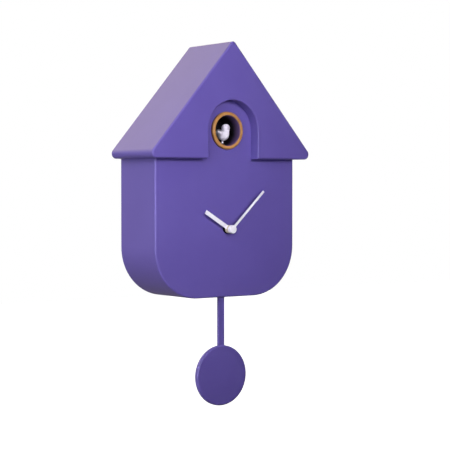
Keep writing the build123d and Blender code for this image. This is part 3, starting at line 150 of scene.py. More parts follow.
class Graph:
    """Adds and links nodes in one node tree."""

    COLOUR_INPUTS = (6, 7)
    COLOUR_OUTPUT = 2

    def __init__(self, tree: bpy.types.NodeTree) -> None:
        """Keep the tree.

        Args:
            tree: Shader or geometry node tree to fill.
        """
        self.tree = tree

    def add(self, kind: str, values: Inputs | None = None, **settings: object) -> bpy.types.Node:
        """Add one node.

        Args:
            kind: Blender's name of the node type.
            values: Socket or constant of each input, by socket name or index.
            settings: Properties of the node itself.

        Returns:
            The new node.
        """
        node = self.tree.nodes.new(kind)
        for key, value in settings.items():
            setattr(node, key, value)
        for key, value in (values or {}).items():
            if isinstance(value, Socket):
                self.link(value, node.inputs[key])
            else:
                node.inputs[key].default_value = value
        return node

    def link(self, source: Socket, target: Socket) -> None:
        """Join two sockets.

        Args:
            source: Output socket.
            target: Input socket.
        """
        self.tree.links.new(source, target)

    def math(self, operation: str, first: object, second: object) -> Socket:
        """Add a Math node on two sockets or numbers.

        Args:
            operation: Blender's name of the operation.
            first: Socket or number.
            second: Socket or number.

        Returns:
            The node's output socket.
        """
        return self.add("ShaderNodeMath", {0: first, 1: second}, operation=operation).outputs[0]

    def scaled(self, source: Socket, factor: object, start: object) -> Socket:
        """Multiply a value and add to it.

        Args:
            source: Socket with the value.
            factor: Socket or number that multiplies it.
            start: Socket or number that is added.

        Returns:
            The result's socket.
        """
        return self.math("ADD", self.math("MULTIPLY", source, factor), start)

    def ramp(self, source: Socket, low: float, high: float, **settings: object) -> Socket:
        """Map a range of values to 0 to 1.

        Args:
            source: Socket with the values.
            low: Value that becomes 0.
            high: Value that becomes 1.
            settings: Properties of the node itself.

        Returns:
            The node's output socket.
        """
        values = {"Value": source, "From Min": low, "From Max": high}
        return self.add("ShaderNodeMapRange", values, **settings).outputs["Result"]

    def blend(self, factor: Socket, first: object, second: object) -> Socket:
        """Mix two colours by a factor that varies.

        Args:
            factor: Socket with the share of the second colour.
            first: Colour socket or linear colour.
            second: Colour socket or linear colour.

        Returns:
            The mixed colour's socket.
        """
        colours = dict(zip(self.COLOUR_INPUTS, (first, second)))
        node = self.add("ShaderNodeMix", {0: factor, **colours}, data_type="RGBA")
        return node.outputs[self.COLOUR_OUTPUT]

    def place(self) -> Socket:
        """Add the place on the surface, in the object's own metres.

        Returns:
            The place's socket.
        """
        return self.add("ShaderNodeTexCoord").outputs["Object"]

    def noise(
        self,
        place: Socket,
        scale: object,
        detail: float = 2.0,
        roughness: float = 0.5,
        distortion: float = 0.0,
    ) -> Socket:
        """Add a noise texture.

        Args:
            place: Socket with the place on the surface.
            scale: Socket or number, the features per metre.
            detail: Number of finer layers.
            roughness: Strength of each finer layer.
            distortion: How far the noise is pulled about.

        Returns:
            Socket with values about 0.5.
        """
        values = {"Vector": place, "Scale": scale, "Detail": detail}
        values |= {"Roughness": roughness, "Distortion": distortion}
        return self.add("ShaderNodeTexNoise", values).outputs["Fac"]

    def bump(self, height: Socket, depth: float) -> Socket:
        """Turn a height into a normal.

        Args:
            height: Socket that varies over the surface.
            depth: Depth of the relief in millimetres.

        Returns:
            The normal's socket.
        """
        values = {"Strength": 1.0, "Distance": depth * MM, "Height": height}
        return self.add("ShaderNodeBump", values).outputs["Normal"]

    def vector(self, x: object, y: object, z: object) -> Socket:
        """Make a vector of three sockets or numbers.

        Args:
            x: Socket or number.
            y: Socket or number.
            z: Socket or number.

        Returns:
            The vector's socket.
        """
        return self.add("ShaderNodeCombineXYZ", {"X": x, "Y": y, "Z": z}).outputs["Vector"]

    def moved(self, shape: Socket, change: str, vector: Socket) -> Socket:
        """Shift or scale a geometry.

        Args:
            shape: Geometry socket.
            change: Translation or Scale.
            vector: Socket with the amount.

        Returns:
            The changed geometry's socket.
        """
        values = {"Geometry": shape, change: vector}
        return self.add("GeometryNodeTransform", values).outputs["Geometry"]


def shader_group(
    name: str, inputs: dict[str, object], outputs: dict[str, str]
) -> tuple[Graph, dict[str, Socket], dict[str, Socket]]:
    """Start a shader node group with named sockets.

    Args:
        name: Name of the group.
        inputs: Default value of each input; a tuple makes a colour socket.
        outputs: Socket type of each output.

    Returns:
        The graph, the input sockets and the output sockets by name.
    """
    tree = bpy.data.node_groups.new(name, "ShaderNodeTree")
    for key, value in inputs.items():
        kind = "NodeSocketColor" if isinstance(value, tuple) else "NodeSocketFloat"
        tree.interface.new_socket(key, in_out="INPUT", socket_type=kind).default_value = value
    for key, kind in outputs.items():
        tree.interface.new_socket(key, in_out="OUTPUT", socket_type=kind)
    graph = Graph(tree)
    start, end = graph.add("NodeGroupInput"), graph.add("NodeGroupOutput")
    return graph, {k: start.outputs[k] for k in inputs}, {k: end.inputs[k] for k in outputs}


def grain_group() -> bpy.types.NodeTree:
    """Moulded grain: broad colour drift with a fine spark-eroded skin.

    Returns:
        The shader node group, built once.
    """
    name = "moulded_grain"
    if name in bpy.data.node_groups:
        return bpy.data.node_groups[name]
    graph, given, out = shader_group(
        name,
        {
            "Tone": Tone.VIOLET.linear,
            "Deep Tone": Tone.VIOLET_DEEP.linear,
            "Grains per Metre": 2000.0,
            "Drifts per Metre": 24.0,
            "Roughness": 0.5,
            "Spread": 0.1,
        },
        {"Color": "NodeSocketColor", "Roughness": "NodeSocketFloat", "Height": "NodeSocketFloat"},
    )
    speck_share = 0.35
    place = graph.place()
    fine = graph.noise(place, given["Grains per Metre"], detail=3.0, roughness=0.55)
    broad = graph.noise(place, given["Drifts per Metre"])
    uneven = graph.math("SUBTRACT", fine, 0.5)
    share = graph.scaled(uneven, speck_share, graph.ramp(broad, 0.3, 0.7))
    graph.link(graph.blend(share, given["Tone"], given["Deep Tone"]), out["Color"])
    graph.link(graph.scaled(uneven, given["Spread"], given["Roughness"]), out["Roughness"])
    graph.link(fine, out["Height"])
    return graph.tree


def rub_group() -> bpy.types.NodeTree:
    """Edge rub: a broken mask along the edges of a piece.

    Returns:
        The shader node group, built once.
    """
    name = "edge_rub"
    if name in bpy.data.node_groups:
        return bpy.data.node_groups[name]
    inputs = {"Reach": 0.0008, "Strength": 0.5}
    graph, given, out = shader_group(name, inputs, {"Mask": "NodeSocketFloat"})
    rounded = graph.add("ShaderNodeBevel", {"Radius": given["Reach"]}, samples=4).outputs["Normal"]
    plain = graph.add("ShaderNodeNewGeometry").outputs["Normal"]
    alike = graph.add("ShaderNodeVectorMath", {0: rounded, 1: plain}, operation="DOT_PRODUCT")
    edge = graph.ramp(alike.outputs["Value"], 0.99, 0.82)
    broken = graph.ramp(graph.noise(graph.place(), 160.0, detail=4.0), 0.35, 0.65)
    worn = graph.math("MULTIPLY", edge, broken)
    graph.link(graph.math("MULTIPLY", worn, given["Strength"]), out["Mask"])
    return graph.tree


def new_material(name: str, surface: Callable[[Graph], Inputs]) -> bpy.types.Material:
    """Make a material with a Principled shader.

    Args:
        name: Name of the material.
        surface: Builds the material's own nodes and gives the shader's inputs.

    Returns:
        The material.
    """
    material = bpy.data.materials.new(name)
    material.use_nodes = True
    material.node_tree.nodes.clear()
    graph = Graph(material.node_tree)
    shader = graph.add("ShaderNodeBsdfPrincipled", surface(graph))
    graph.add("ShaderNodeOutputMaterial", {"Surface": shader.outputs["BSDF"]})
    return material


def per_metre(size: float) -> float:
    """Count how often a size goes into a metre.

    Args:
        size: The size in millimetres.

    Returns:
        The count.
    """
    return 1 / (size * MM)


def at(x: float, depth: float, z: float) -> Point:
    """Find a place on the clock.

    Args:
        x: X in millimetres.
        depth: Distance before the wall in millimetres.
        z: Z in millimetres.

    Returns:
        The place in metres.
    """
    return (x * MM, -depth * MM, z * MM)


@dataclass(frozen=True)
class Region:
    """Part of a moulding in another tone, by its distance from a place in millimetres; it serves
    for a second colour of a part and for painted shade and painted light.
    """

    tone: Tone
    place: Point
    axes: Point
    inner: float
    outer: float

    def mask(self, graph: Graph) -> bpy.types.NodeSocket:
        """Build the mask of the region.

        Args:
            graph: The material's graph.

        Returns:
            Socket that is 1 inside the region and 0 outside.
        """
        shift = tuple(-axis * value * MM for axis, value in zip(self.axes, self.place))
        values = {"Vector": graph.place(), "Location": shift, "Scale": self.axes}
        centred = graph.add("ShaderNodeMapping", values).outputs["Vector"]
        reach = graph.add("ShaderNodeVectorMath", {0: centred}, operation="LENGTH")
        return graph.ramp(reach.outputs["Value"], self.outer * MM, self.inner * MM)


@dataclass(frozen=True)
class Finish:
    """A material of the clock, built when a piece first wears it."""

    name: str
    tone: Tone

    def material(self) -> bpy.types.Material:
        """Build the material once.

        Returns:
            The material.
        """
        if self.name in bpy.data.materials:
            return bpy.data.materials[self.name]
        return new_material(self.name, self.surface)

    def surface(self, graph: Graph) -> Inputs:
        """Build the finish's own nodes.

        Args:
            graph: The material's graph.

        Returns:
            Socket or constant of each input of the Principled shader.
        """
        raise NotImplementedError


@dataclass(frozen=True)
class Plastic(Finish):
    """Injection-moulded plastic with a grained skin and lightly rubbed edges."""

    deep: Tone
    rub: Tone
    roughness: float = 0.5
    spread: float = 0.12
    grain: float = 0.45
    relief: float = 0.02
    drift: float = 40.0
    specular: float = 0.5
    rub_strength: float = 0.35
    rub_reach: float = 0.7
    rub_polish: float = 0.2
    region: Region | None = None

    def surface(self, graph: Graph) -> Inputs:
        """Build the skin, the rubbed edges and the region in another tone, which on some finishes
        is painted shade or painted light.

        Args:
            graph: The material's graph.

        Returns:
            Socket or constant of each input of the Principled shader.
        """
        skin = graph.add(
            "ShaderNodeGroup",
            {
                "Tone": self.tone.linear,
                "Deep Tone": self.deep.linear,
                "Grains per Metre": per_metre(self.grain),
                "Drifts per Metre": per_metre(self.drift),
                "Roughness": self.roughness,
                "Spread": self.spread,
            },
            node_tree=grain_group(),
        )
        values = {"Reach": self.rub_reach * MM, "Strength": self.rub_strength}
        rubbed = graph.add("ShaderNodeGroup", values, node_tree=rub_group()).outputs["Mask"]
        colour = graph.blend(rubbed, skin.outputs["Color"], self.rub.linear)
        # On the ring and the tunnel the region's tone is painted shade and painted light; on the
        # hour hand it is the hub's own colour.
        if self.region:
            colour = graph.blend(self.region.mask(graph), colour, self.region.tone.linear)
        polish = graph.math("MULTIPLY", rubbed, self.rub_polish)
        return {
            "Base Color": colour,
            "Roughness": graph.math("SUBTRACT", skin.outputs["Roughness"], polish),
            "Specular IOR Level": self.specular,
            "Normal": graph.bump(skin.outputs["Height"], self.relief),
        }


@dataclass(frozen=True)
class Metal(Finish):
    """Bare or plated metal with tool marks."""

    deep: Tone
    lay: Lay
    roughness: float = 0.32
    spread: float = 0.25
    marks: float = 0.25
    relief: float = 0.006

    def surface(self, graph: Graph) -> Inputs:
        """Build tool marks over a patchy tarnish.

        Args:
            graph: The material's graph.

        Returns:
            Socket or constant of each input of the Principled shader.
        """
        place = graph.place()
        turn = graph.add("ShaderNodeMapping", {"Vector": place, "Scale": self.lay.value})
        marks = graph.noise(turn.outputs["Vector"], per_metre(self.marks), detail=3.0)
        tarnish = graph.noise(place, 220.0, detail=4.0)
        share = graph.math("MULTIPLY", graph.math("ADD", marks, tarnish), 0.5)
        uneven = graph.math("SUBTRACT", share, 0.5)
        return {
            "Base Color": graph.blend(share, self.tone.linear, self.deep.linear),
            "Metallic": 1.0,
            "Roughness": graph.scaled(uneven, self.spread, self.roughness),
            "Normal": graph.bump(marks, self.relief),
        }


@dataclass(frozen=True)
class Winding(Finish):
    """Enamelled wire wound in even layers."""

    deep: Tone
    wire: float = 0.35
    roughness: float = 0.2
    spread: float = 0.3

    def surface(self, graph: Graph) -> Inputs:
        """Build strands of wire under enamel.

        Args:
            graph: The material's graph.

        Returns:
            Socket or constant of each input of the Principled shader.
        """
        place = graph.place()
        scale = per_metre(self.wire) / WAVE_RADIANS
        strands = graph.add(
            "ShaderNodeTexWave",
            {"Vector": place, "Scale": scale, "Distortion": 0.4, "Detail": 1.0},
            wave_type="BANDS",
            bands_direction="Y",
        ).outputs["Fac"]
        drift = graph.noise(place, 900.0)
        share = graph.math("MULTIPLY", strands, drift)
        return {
            "Base Color": graph.blend(share, self.deep.linear, self.tone.linear),
            "Metallic": 0.7,
            "Roughness": graph.scaled(drift, self.spread, self.roughness),
            "Coat Weight": 0.5,
            "Normal": graph.bump(strands, self.wire / 2),
        }


@dataclass(frozen=True)
class PressedPaper(Finish):
    """Felted paper of a loudspeaker cone."""

    deep: Tone
    roughness: float = 0.75
    spread: float = 0.2
    relief: float = 0.08

    def surface(self, graph: Graph) -> Inputs:
        """Build felted fibres.

        Args:
            graph: The material's graph.

        Returns:
            Socket or constant of each input of the Principled shader.
        """
        fibres = graph.noise(graph.place(), 1400.0, detail=6.0, distortion=2.0)
        return {
            "Base Color": graph.blend(fibres, self.deep.linear, self.tone.linear),
            "Roughness": graph.scaled(fibres, self.spread, self.roughness),
            "Specular IOR Level": 0.3,
            "Normal": graph.bump(fibres, self.relief),
        }


@dataclass(frozen=True)
class SolderMask(Finish):
    """Green circuit board with tracks under its mask."""

    track: Tone
    pitch: float = 2.5
    roughness: float = 0.25
    spread: float = 0.2
    relief: float = 0.03

    def surface(self, graph: Graph) -> Inputs:
        """Build tracks and a woven board under a clear coat.

        Args:
            graph: The material's graph.

        Returns:
            Socket or constant of each input of the Principled shader.
        """
        place = graph.place()
        turn = graph.add("ShaderNodeMapping", {"Vector": place, "Rotation": (pi / 2, 0.0, 0.0)})
        tracks = graph.add(
            "ShaderNodeTexBrick",
            {
                "Vector": turn.outputs["Vector"],
                "Scale": per_metre(self.pitch) / BRICK_ROWS,
                "Mortar Size": 0.06,
                "Mortar Smooth": 0.2,
            },
            offset=0.37,
            squash=0.6,
            squash_frequency=3,
        ).outputs["Fac"]
        weave = graph.noise(place, 2600.0)
        return {
            "Base Color": graph.blend(tracks, self.tone.linear, self.track.linear),
            "Roughness": graph.scaled(weave, self.spread, self.roughness),
            "Coat Weight": 0.3,
            "Normal": graph.bump(graph.math("ADD", tracks, weave), self.relief),
        }


@dataclass(frozen=True)
class Sleeve(Finish):
    """Shrunk plastic sleeve of a capacitor with a pale band down one side."""

    band: Tone
    pitch: float = 28.0
    roughness: float = 0.15
    spread: float = 0.2
    relief: float = 0.02

    def surface(self, graph: Graph) -> Inputs:
        """Build the band and a thin film.

        Args:
            graph: The material's graph.

        Returns:
            Socket or constant of each input of the Principled shader.
        """
        place = graph.place()
        values = {"Vector": place, "Scale": per_metre(self.pitch) / WAVES}
        bands = graph.add("ShaderNodeTexWave", values, bands_direction="X").outputs["Fac"]
        film = graph.noise(place, 700.0)
        mask = graph.ramp(bands, 0.9, 0.94)
        return {
            "Base Color": graph.blend(mask, self.tone.linear, self.band.linear),
            "Roughness": graph.scaled(film, self.spread, self.roughness),
            "Coat Weight": 0.4,
            "Normal": graph.bump(film, self.relief),
        }


VIOLET = Plastic(
    "violet_moulding", Tone.VIOLET, Tone.VIOLET_DEEP, Tone.VIOLET_RUB, roughness=0.46
)
COVER = Plastic(
    "plum_moulding",
    Tone.PLUM,
    Tone.PLUM_DEEP,
    Tone.PLUM_RUB,
    roughness=0.55,
    grain=0.6,
    relief=0.03,
)
# Painted shade at the ring's foot: its flank is darkened to brown within a few millimetres of the
# dial plane, where it meets the housing.
RING_FOOT_SHADE = Region(Tone.FOOT_SHADE, (0.0, -69.0, 0.0), (0.0, 1.0, 0.0), 1.4, 3.3)
RING = Plastic(
    "ochre_satin_shaded_foot",
    Tone.OCHRE,
    Tone.OCHRE_DEEP,
    Tone.OCHRE_RUB,
    roughness=0.38,
    drift=9.0,
    relief=0.01,
    region=RING_FOOT_SHADE,
)
WHITE = Plastic(
    "chalk_white",
    Tone.CHALK,
    Tone.CHALK_DEEP,
    Tone.CHALK,
    roughness=0.42,
    drift=6.0,
    relief=0.008,
)
FEATHER = Plastic(
    "feather_white",
    Tone.FEATHER,
    Tone.FEATHER_DEEP,
    Tone.CHALK,
    roughness=0.55,
    drift=6.0,
    specular=0.3,
)
HUB_SHELL = Region(Tone.BEIGE, (0.0, 0.0, -158.921), (1.0, 0.0, 1.0), 4.56, 4.7)
HOUR_WHITE = replace(WHITE, name="chalk_white_on_beige", region=HUB_SHELL)
BLACK = Plastic(
    "soot_matte", Tone.SOOT, Tone.SOOT_DEEP, Tone.SOOT_RUB, roughness=0.62, relief=0.02
)
# Painted light at the tunnel's mouth: the first millimetres of the black tunnel behind the ring
# are a lighter plum, as if lit through the opening, and the depth stays black.
NEST_MOUTH_LIGHT = Region(Tone.MOUTH_LIGHT, (0.0, -71.4, 0.0), (0.0, 1.0, 0.0), 2.0, 13.0)
TUNNEL = replace(BLACK, name="soot_tunnel_lit_mouth", roughness=0.5, region=NEST_MOUTH_LIGHT)
GREY = Plastic("slate_moulding", Tone.SLATE, Tone.SLATE_DEEP, Tone.SLATE, roughness=0.52)
GEAR = Plastic(
    "bone_acetal",
    Tone.BONE,
    Tone.BONE_DEEP,
    Tone.CHALK,
    roughness=0.36,
    drift=8.0,
    relief=0.006,
)
RUBBER = Plastic(
    "black_rubber", Tone.RUBBER, Tone.RUBBER_DEEP, Tone.RUBBER, roughness=0.8, specular=0.3
)
STEEL = Metal("zinc_plate", Tone.ZINC, Tone.ZINC_DEEP, Lay.CAST)
SHEET = Metal("rolled_steel", Tone.ZINC, Tone.ZINC_DEEP, Lay.DRAWN)
BRASS = Metal("turned_brass", Tone.BRASS, Tone.BRASS_DEEP, Lay.TURNED, roughness=0.28)
NUT = Metal("blackened_brass", Tone.BLACKENED, Tone.BLACKENED_DEEP, Lay.TURNED, roughness=0.45)
MAGNET = Metal(
    "sintered_magnet", Tone.FERRITE, Tone.FERRITE_DEEP, Lay.CAST, roughness=0.6, relief=0.03
)
COPPER = Winding("copper_winding", Tone.COPPER, Tone.COPPER_DEEP)
PAPER = PressedPaper("cone_pulp", Tone.PULP, Tone.PULP_DEEP)
BOARD = SolderMask("green_board", Tone.MASK, Tone.MASK_TRACK)
CAN = Sleeve("capacitor_film", Tone.SLEEVE, Tone.SLEEVE_BAND)


def dress(finish: Finish, *nodes: str) -> None:
    """Give carried-over nodes their finish.

    Args:
        finish: The finish to wear.
        nodes: Names of the nodes.
    """
    for node in nodes:
        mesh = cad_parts[node].data
        mesh.materials.clear()
        mesh.materials.append(finish.material())
        LOG.info("%s wears %s", node, finish.name)


def settle(piece: bpy.types.Object, body: str, slot: str, *nodes: str) -> None:
    """Seat a finished piece on the clock.

    Args:
        piece: The object, in place.
        body: Body that it moves with.
        slot: Material slot of the record; not used.
        nodes: Nodes that it stands for.
    """
    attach(piece, body)
    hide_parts(*nodes)
    LOG.info("%s rides on %s with %d faces", piece.name, body, len(piece.data.polygons))


def add_object(name: str, mesh: bpy.types.Mesh) -> bpy.types.Object:
    """Link a mesh into the scene.

    Args:
        name: Name of the new object.
        mesh: The mesh.

    Returns:
        The object.
    """
    piece = bpy.data.objects.new(name, mesh)
    bpy.context.scene.collection.objects.link(piece)
    return piece


def bake_modifiers(piece: bpy.types.Object) -> None:
    """Turn a piece and its modifiers into a plain mesh.

    Args:
        piece: Object whose modifiers are applied and removed.
    """
    graph = bpy.context.evaluated_depsgraph_get()
    mesh = bpy.data.meshes.new_from_object(piece.evaluated_get(graph))
    old = piece.data
    piece.modifiers.clear()
    piece.data = mesh
    bpy.data.meshes.remove(old)
    mesh.name = piece.name


def softened(node: str, name: str, finish: Finish, width: float) -> bpy.types.Object:
    """Copy a node and break its sharp edges.

    Args:
        node: Node to copy.
        name: Name of the new piece.
        finish: The finish to wear.
        width: Width of the broken edge in millimetres.

    Returns:
        The new piece.
    """
    solid = bmesh.new()
    solid.from_mesh(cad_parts[node].data)
    bmesh.ops.remove_doubles(solid, verts=solid.verts, dist=WELD)
    bmesh.ops.dissolve_limit(
        solid, angle_limit=FLAT_BELOW, verts=solid.verts, edges=solid.edges
    )
    mesh = bpy.data.meshes.new(name)
    solid.to_mesh(mesh)
    solid.free()
    normals = mesh.attributes.get("custom_normal")
    if normals:
        mesh.attributes.remove(normals)
    mesh.shade_smooth()
    mesh.materials.clear()
    mesh.materials.append(finish.material())
    piece = add_object(name, mesh)
    edge = piece.modifiers.new("broken_edges", "BEVEL")
    edge.width, edge.segments = width * MM, BEVEL_STEPS
    edge.limit_method, edge.angle_limit = "ANGLE", SHARP_ABOVE
    edge.use_clamp_overlap = True
    edge.miter_outer = "MITER_ARC"
    piece.modifiers.new("flat_faces", "WEIGHTED_NORMAL").keep_sharp = True
    bake_modifiers(piece)
    return piece


def turned(name: str, section: list[Pair], height: float, finish: Finish) -> bpy.types.Object:
    """Turn a closed section about an axis along Y.

    Args:
        name: Name of the piece.
        section: Radius and depth of each point in millimetres, in order round the section.
        height: Z of the axis in millimetres.
        finish: The finish to wear.

    Returns:
        The new piece.
    """
    solid = bmesh.new()
    turns = [2 * pi * step / TURN_STEPS for step in range(TURN_STEPS)]
    rings = [
        [solid.verts.new(at(r * sin(t), d, height + r * cos(t))) for r, d in section]
        for t in turns
    ]
    for first, second in zip(rings, rings[1:] + rings[:1]):
        for index in range(len(section)):
            solid.faces.new((first[index - 1], first[index], second[index], second[index - 1]))
    bmesh.ops.recalc_face_normals(solid, faces=solid.faces)
    mesh = bpy.data.meshes.new(name)
    solid.to_mesh(mesh)
    solid.free()
    mesh.shade_smooth()
    mesh.set_sharp_from_angle(angle=CREASED_ABOVE)
    mesh.materials.append(finish.material())
    return add_object(name, mesh)


def rounding(middle: Pair, radius: float, start: float, end: float) -> list[Pair]:
    """Points of an arc in a section.

    Args:
        middle: Radius and depth of the arc's centre in millimetres.
        radius: Its radius in millimetres.
        start: Angle of the first point in degrees, 0 outwards and 90 forwards.
        end: Angle of the last point in degrees.

    Returns:
        Radius and depth of each point.
    """
    steps = range(ARC_STEPS + 1)
    angles = [radians(start + (end - start) * step / ARC_STEPS) for step in steps]
    return [(middle[0] + radius * cos(a), middle[1] + radius * sin(a)) for a in angles]


@dataclass(frozen=True)
class Softbox:
    """One square soft light, in metres and watts."""

    name: str
    place: Point
    aim: Point
    size: float
    power: float
    tint: Point = (1.0, 1.0, 1.0)
    spread: float = 180.0
    gleams: bool = True
    fills: bool = True

    def hang(self) -> None:
        """Put the light in the scene, unseen by the camera."""
        light = bpy.data.lights.new(self.name, "AREA")
        light.size, light.energy, light.color = self.size, self.power, self.tint
        light.spread = radians(self.spread)
        lamp = bpy.data.objects.new(self.name, light)
        lamp.location = self.place
        way = Vector(self.aim) - Vector(self.place)
        lamp.rotation_euler = way.to_track_quat("-Z", "Y").to_euler()
        lamp.visible_camera = False
        lamp.visible_glossy, lamp.visible_diffuse = self.gleams, self.fills
        bpy.context.scene.collection.objects.link(lamp)


@dataclass
class Studio:
    """Camera, plain pale floor, sky and softboxes, in metres."""

    eye: Point = (-0.91846, -1.35691, -0.10804)
    yaw: float = 35.437
    tilt: float = -1.683
    lens: float = 115.171
    clip: Pair = (0.05, 100.0)
    floor_z: float = -4.0
    floor_half: float = 40.0
    floor_tone: Colour = (0.985, 0.985, 0.985, 1.0)
    front_high: Point = (0.03, 0.03, 0.03)
    front_low: Point = (0.02, 0.02, 0.02)
    back_high: Point = (0.50, 0.49, 0.47)
    back_low: Point = (0.33, 0.29, 0.31)
    blend_half: float = 0.4
    softboxes: tuple[Softbox, ...] = (
        Softbox(
            "front_softbox",
            (-0.35, -2.05, 0.38),
            (-0.15, -0.08, 0.06),
            0.5,
            1.28,
            spread=30.0,
            gleams=False,
        ),
        Softbox(
            "left_softbox",
            (-1.0, -0.55, 0.10),
            (0.0, -0.05, -0.1),
            1.3,
            13.0,
            (0.95, 0.98, 1.12),
            gleams=False,
        ),
        Softbox("eye_softbox", (-0.72, -1.15, 0.08), (0.0, -0.06, -0.08), 0.8, 2.4),
        Softbox(
            "edge_softbox", (-1.15, -0.75, 0.10), (0.0, -0.06, -0.08), 1.2, 14.0, fills=False
        ),
        Softbox(
            "rear_softbox", (-0.15, 1.3, 0.85), (0.0, -0.05, 0.0), 1.6, 14.6, (1.0, 0.84, 0.54)
        ),
        Softbox("wall_softbox", (1.0, 1.3, 0.1), (0.0, 0.0, -0.12), 1.2, 16.0),
    )

    def build(self) -> None:
        """Make the camera, the floor, the sky and the lights."""
        scene = bpy.context.scene
        scene.view_settings.view_transform = "Standard"
        camera = bpy.data.objects.new("camera", bpy.data.cameras.new("camera"))
        camera.location = self.eye
        camera.rotation_euler = (pi / 2 + radians(self.tilt), 0.0, -radians(self.yaw))
        camera.data.lens = self.lens
        camera.data.clip_start, camera.data.clip_end = self.clip
        scene.collection.objects.link(camera)
        scene.camera = camera
        self.sky()
        self.floor()
        for softbox in self.softboxes:
            softbox.hang()
        LOG.info("studio ready with %d softboxes", len(self.softboxes))

    def sky(self) -> None:
        """White to the eye, with its own light before and behind, above and below the clock."""
        world = bpy.data.worlds.new("studio_sky")
        bpy.context.scene.world = world
        world.use_nodes = True
        world.node_tree.nodes.clear()
        graph = Graph(world.node_tree)
        way = graph.add("ShaderNodeTexCoord").outputs["Generated"]
        axes = graph.add("ShaderNodeSeparateXYZ", {"Vector": way}).outputs
        half = self.blend_half
        behind, above = (
            graph.ramp(axes[axis], -half, half, interpolation_type="SMOOTHSTEP") for axis in "YZ"
        )
        low = graph.blend(behind, (*self.front_low, 1.0), (*self.back_low, 1.0))
        high = graph.blend(behind, (*self.front_high, 1.0), (*self.back_high, 1.0))
        seen = graph.add("ShaderNodeLightPath").outputs["Is Camera Ray"]
        tone = graph.blend(seen, graph.blend(above, low, high), BLANK)
        light = graph.add("ShaderNodeBackground", {"Color": tone, "Strength": 1.0})
        graph.add("ShaderNodeOutputWorld", {"Surface": light.outputs["Background"]})

    def glow(self, graph: Graph) -> Inputs:
        """Build the floor's own light, as bright as the sky to the eye.

        Args:
            graph: The material's graph.

        Returns:
            Socket or constant of each input of the Principled shader.
        """
        tone = graph.blend(graph.noise(graph.place(), 3.0), self.floor_tone, BLANK)
        return {
            "Base Color": tone,
            "Roughness": 0.9,
            "Specular IOR Level": 0.0,
            "Emission Color": tone,
            "Emission Strength": 1.0,
        }

    def floor(self) -> None:
        """A wide pale floor well below the hanging clock, which throws no light back on it."""
        half = self.floor_half
        signs = ((-1, -1), (1, -1), (1, 1), (-1, 1))
        mesh = bpy.data.meshes.new("studio_floor")
        mesh.from_pydata([(x * half, y * half, self.floor_z) for x, y in signs], [], [range(4)])
        mesh.materials.append(new_material("pale_floor", self.glow))
        floor = add_object("studio_floor", mesh)
        floor.visible_diffuse = floor.visible_glossy = floor.visible_shadow = False


@dataclass
class Case:
    """Roof and body of the house."""

    def build(self) -> None:
        """Dress the roof and the body."""
        dress(VIOLET, "roof_shell", "front_housing")


@dataclass
class Nest:
    """Ring round the nest hole, with painted shade at its foot, and the dark tunnel behind it with
    painted light at its mouth, in millimetres.
    """

    middle_z: float = NEST_Z
    bore: float = 16.9
    rim: float = 20.8
    spigot: float = 19.55
    seat: float = 17.55
    dial: float = 69.0
    front: float = 72.6
    lip: float = 1.2
    spigot_length: float = 1.2
    outer_round: float = 2.2
    inner_round: float = 0.6

    def build(self) -> None:
        """Turn the ring, whose bore stands a little back from the liner, and dress the tunnel."""
        ring = turned("nest_ring_bead", self.section(), self.middle_z, RING)
        settle(ring, "case", "ring_plastic", "nest_ring")
        dress(TUNNEL, "nest_tube")

    def section(self) -> list[Pair]:
        """Draw the ring's section, from its spigot round the front.

        Returns:
            Radius and depth of each point.
        """
        inside = (self.bore + self.inner_round, self.front - self.inner_round)
        outside = (self.rim - self.outer_round, self.front - self.outer_round)
        return [
            (self.seat, self.dial - self.spigot_length),
            (self.seat, self.front - self.lip),
            (self.bore, self.front - self.lip),
            *rounding(inside, self.inner_round, 180, 90),
            *rounding(outside, self.outer_round, 90, 0),
            (self.rim, self.dial),
            (self.spigot, self.dial),
            (self.spigot, self.dial - self.spigot_length),
        ]


@dataclass(frozen=True)
class ScrewGroup:
    """Screws of one length with their seats on one plane, in millimetres."""

    node: str
    length: float
    depth: float
    rows: tuple[Pair, ...]
    middle: float = 0.0
    facing: Facing = Facing.WALL

    def spots(self) -> list[Point]:
        """Place two screws for each row, or one where its half width is 0.

        Returns:
            X, depth and Z of each head's seat.
        """
        return [
            (self.middle + side * half, self.depth, z)
            for half, z in self.rows
            for side in ((-1, 1) if half else (0,))
        ]


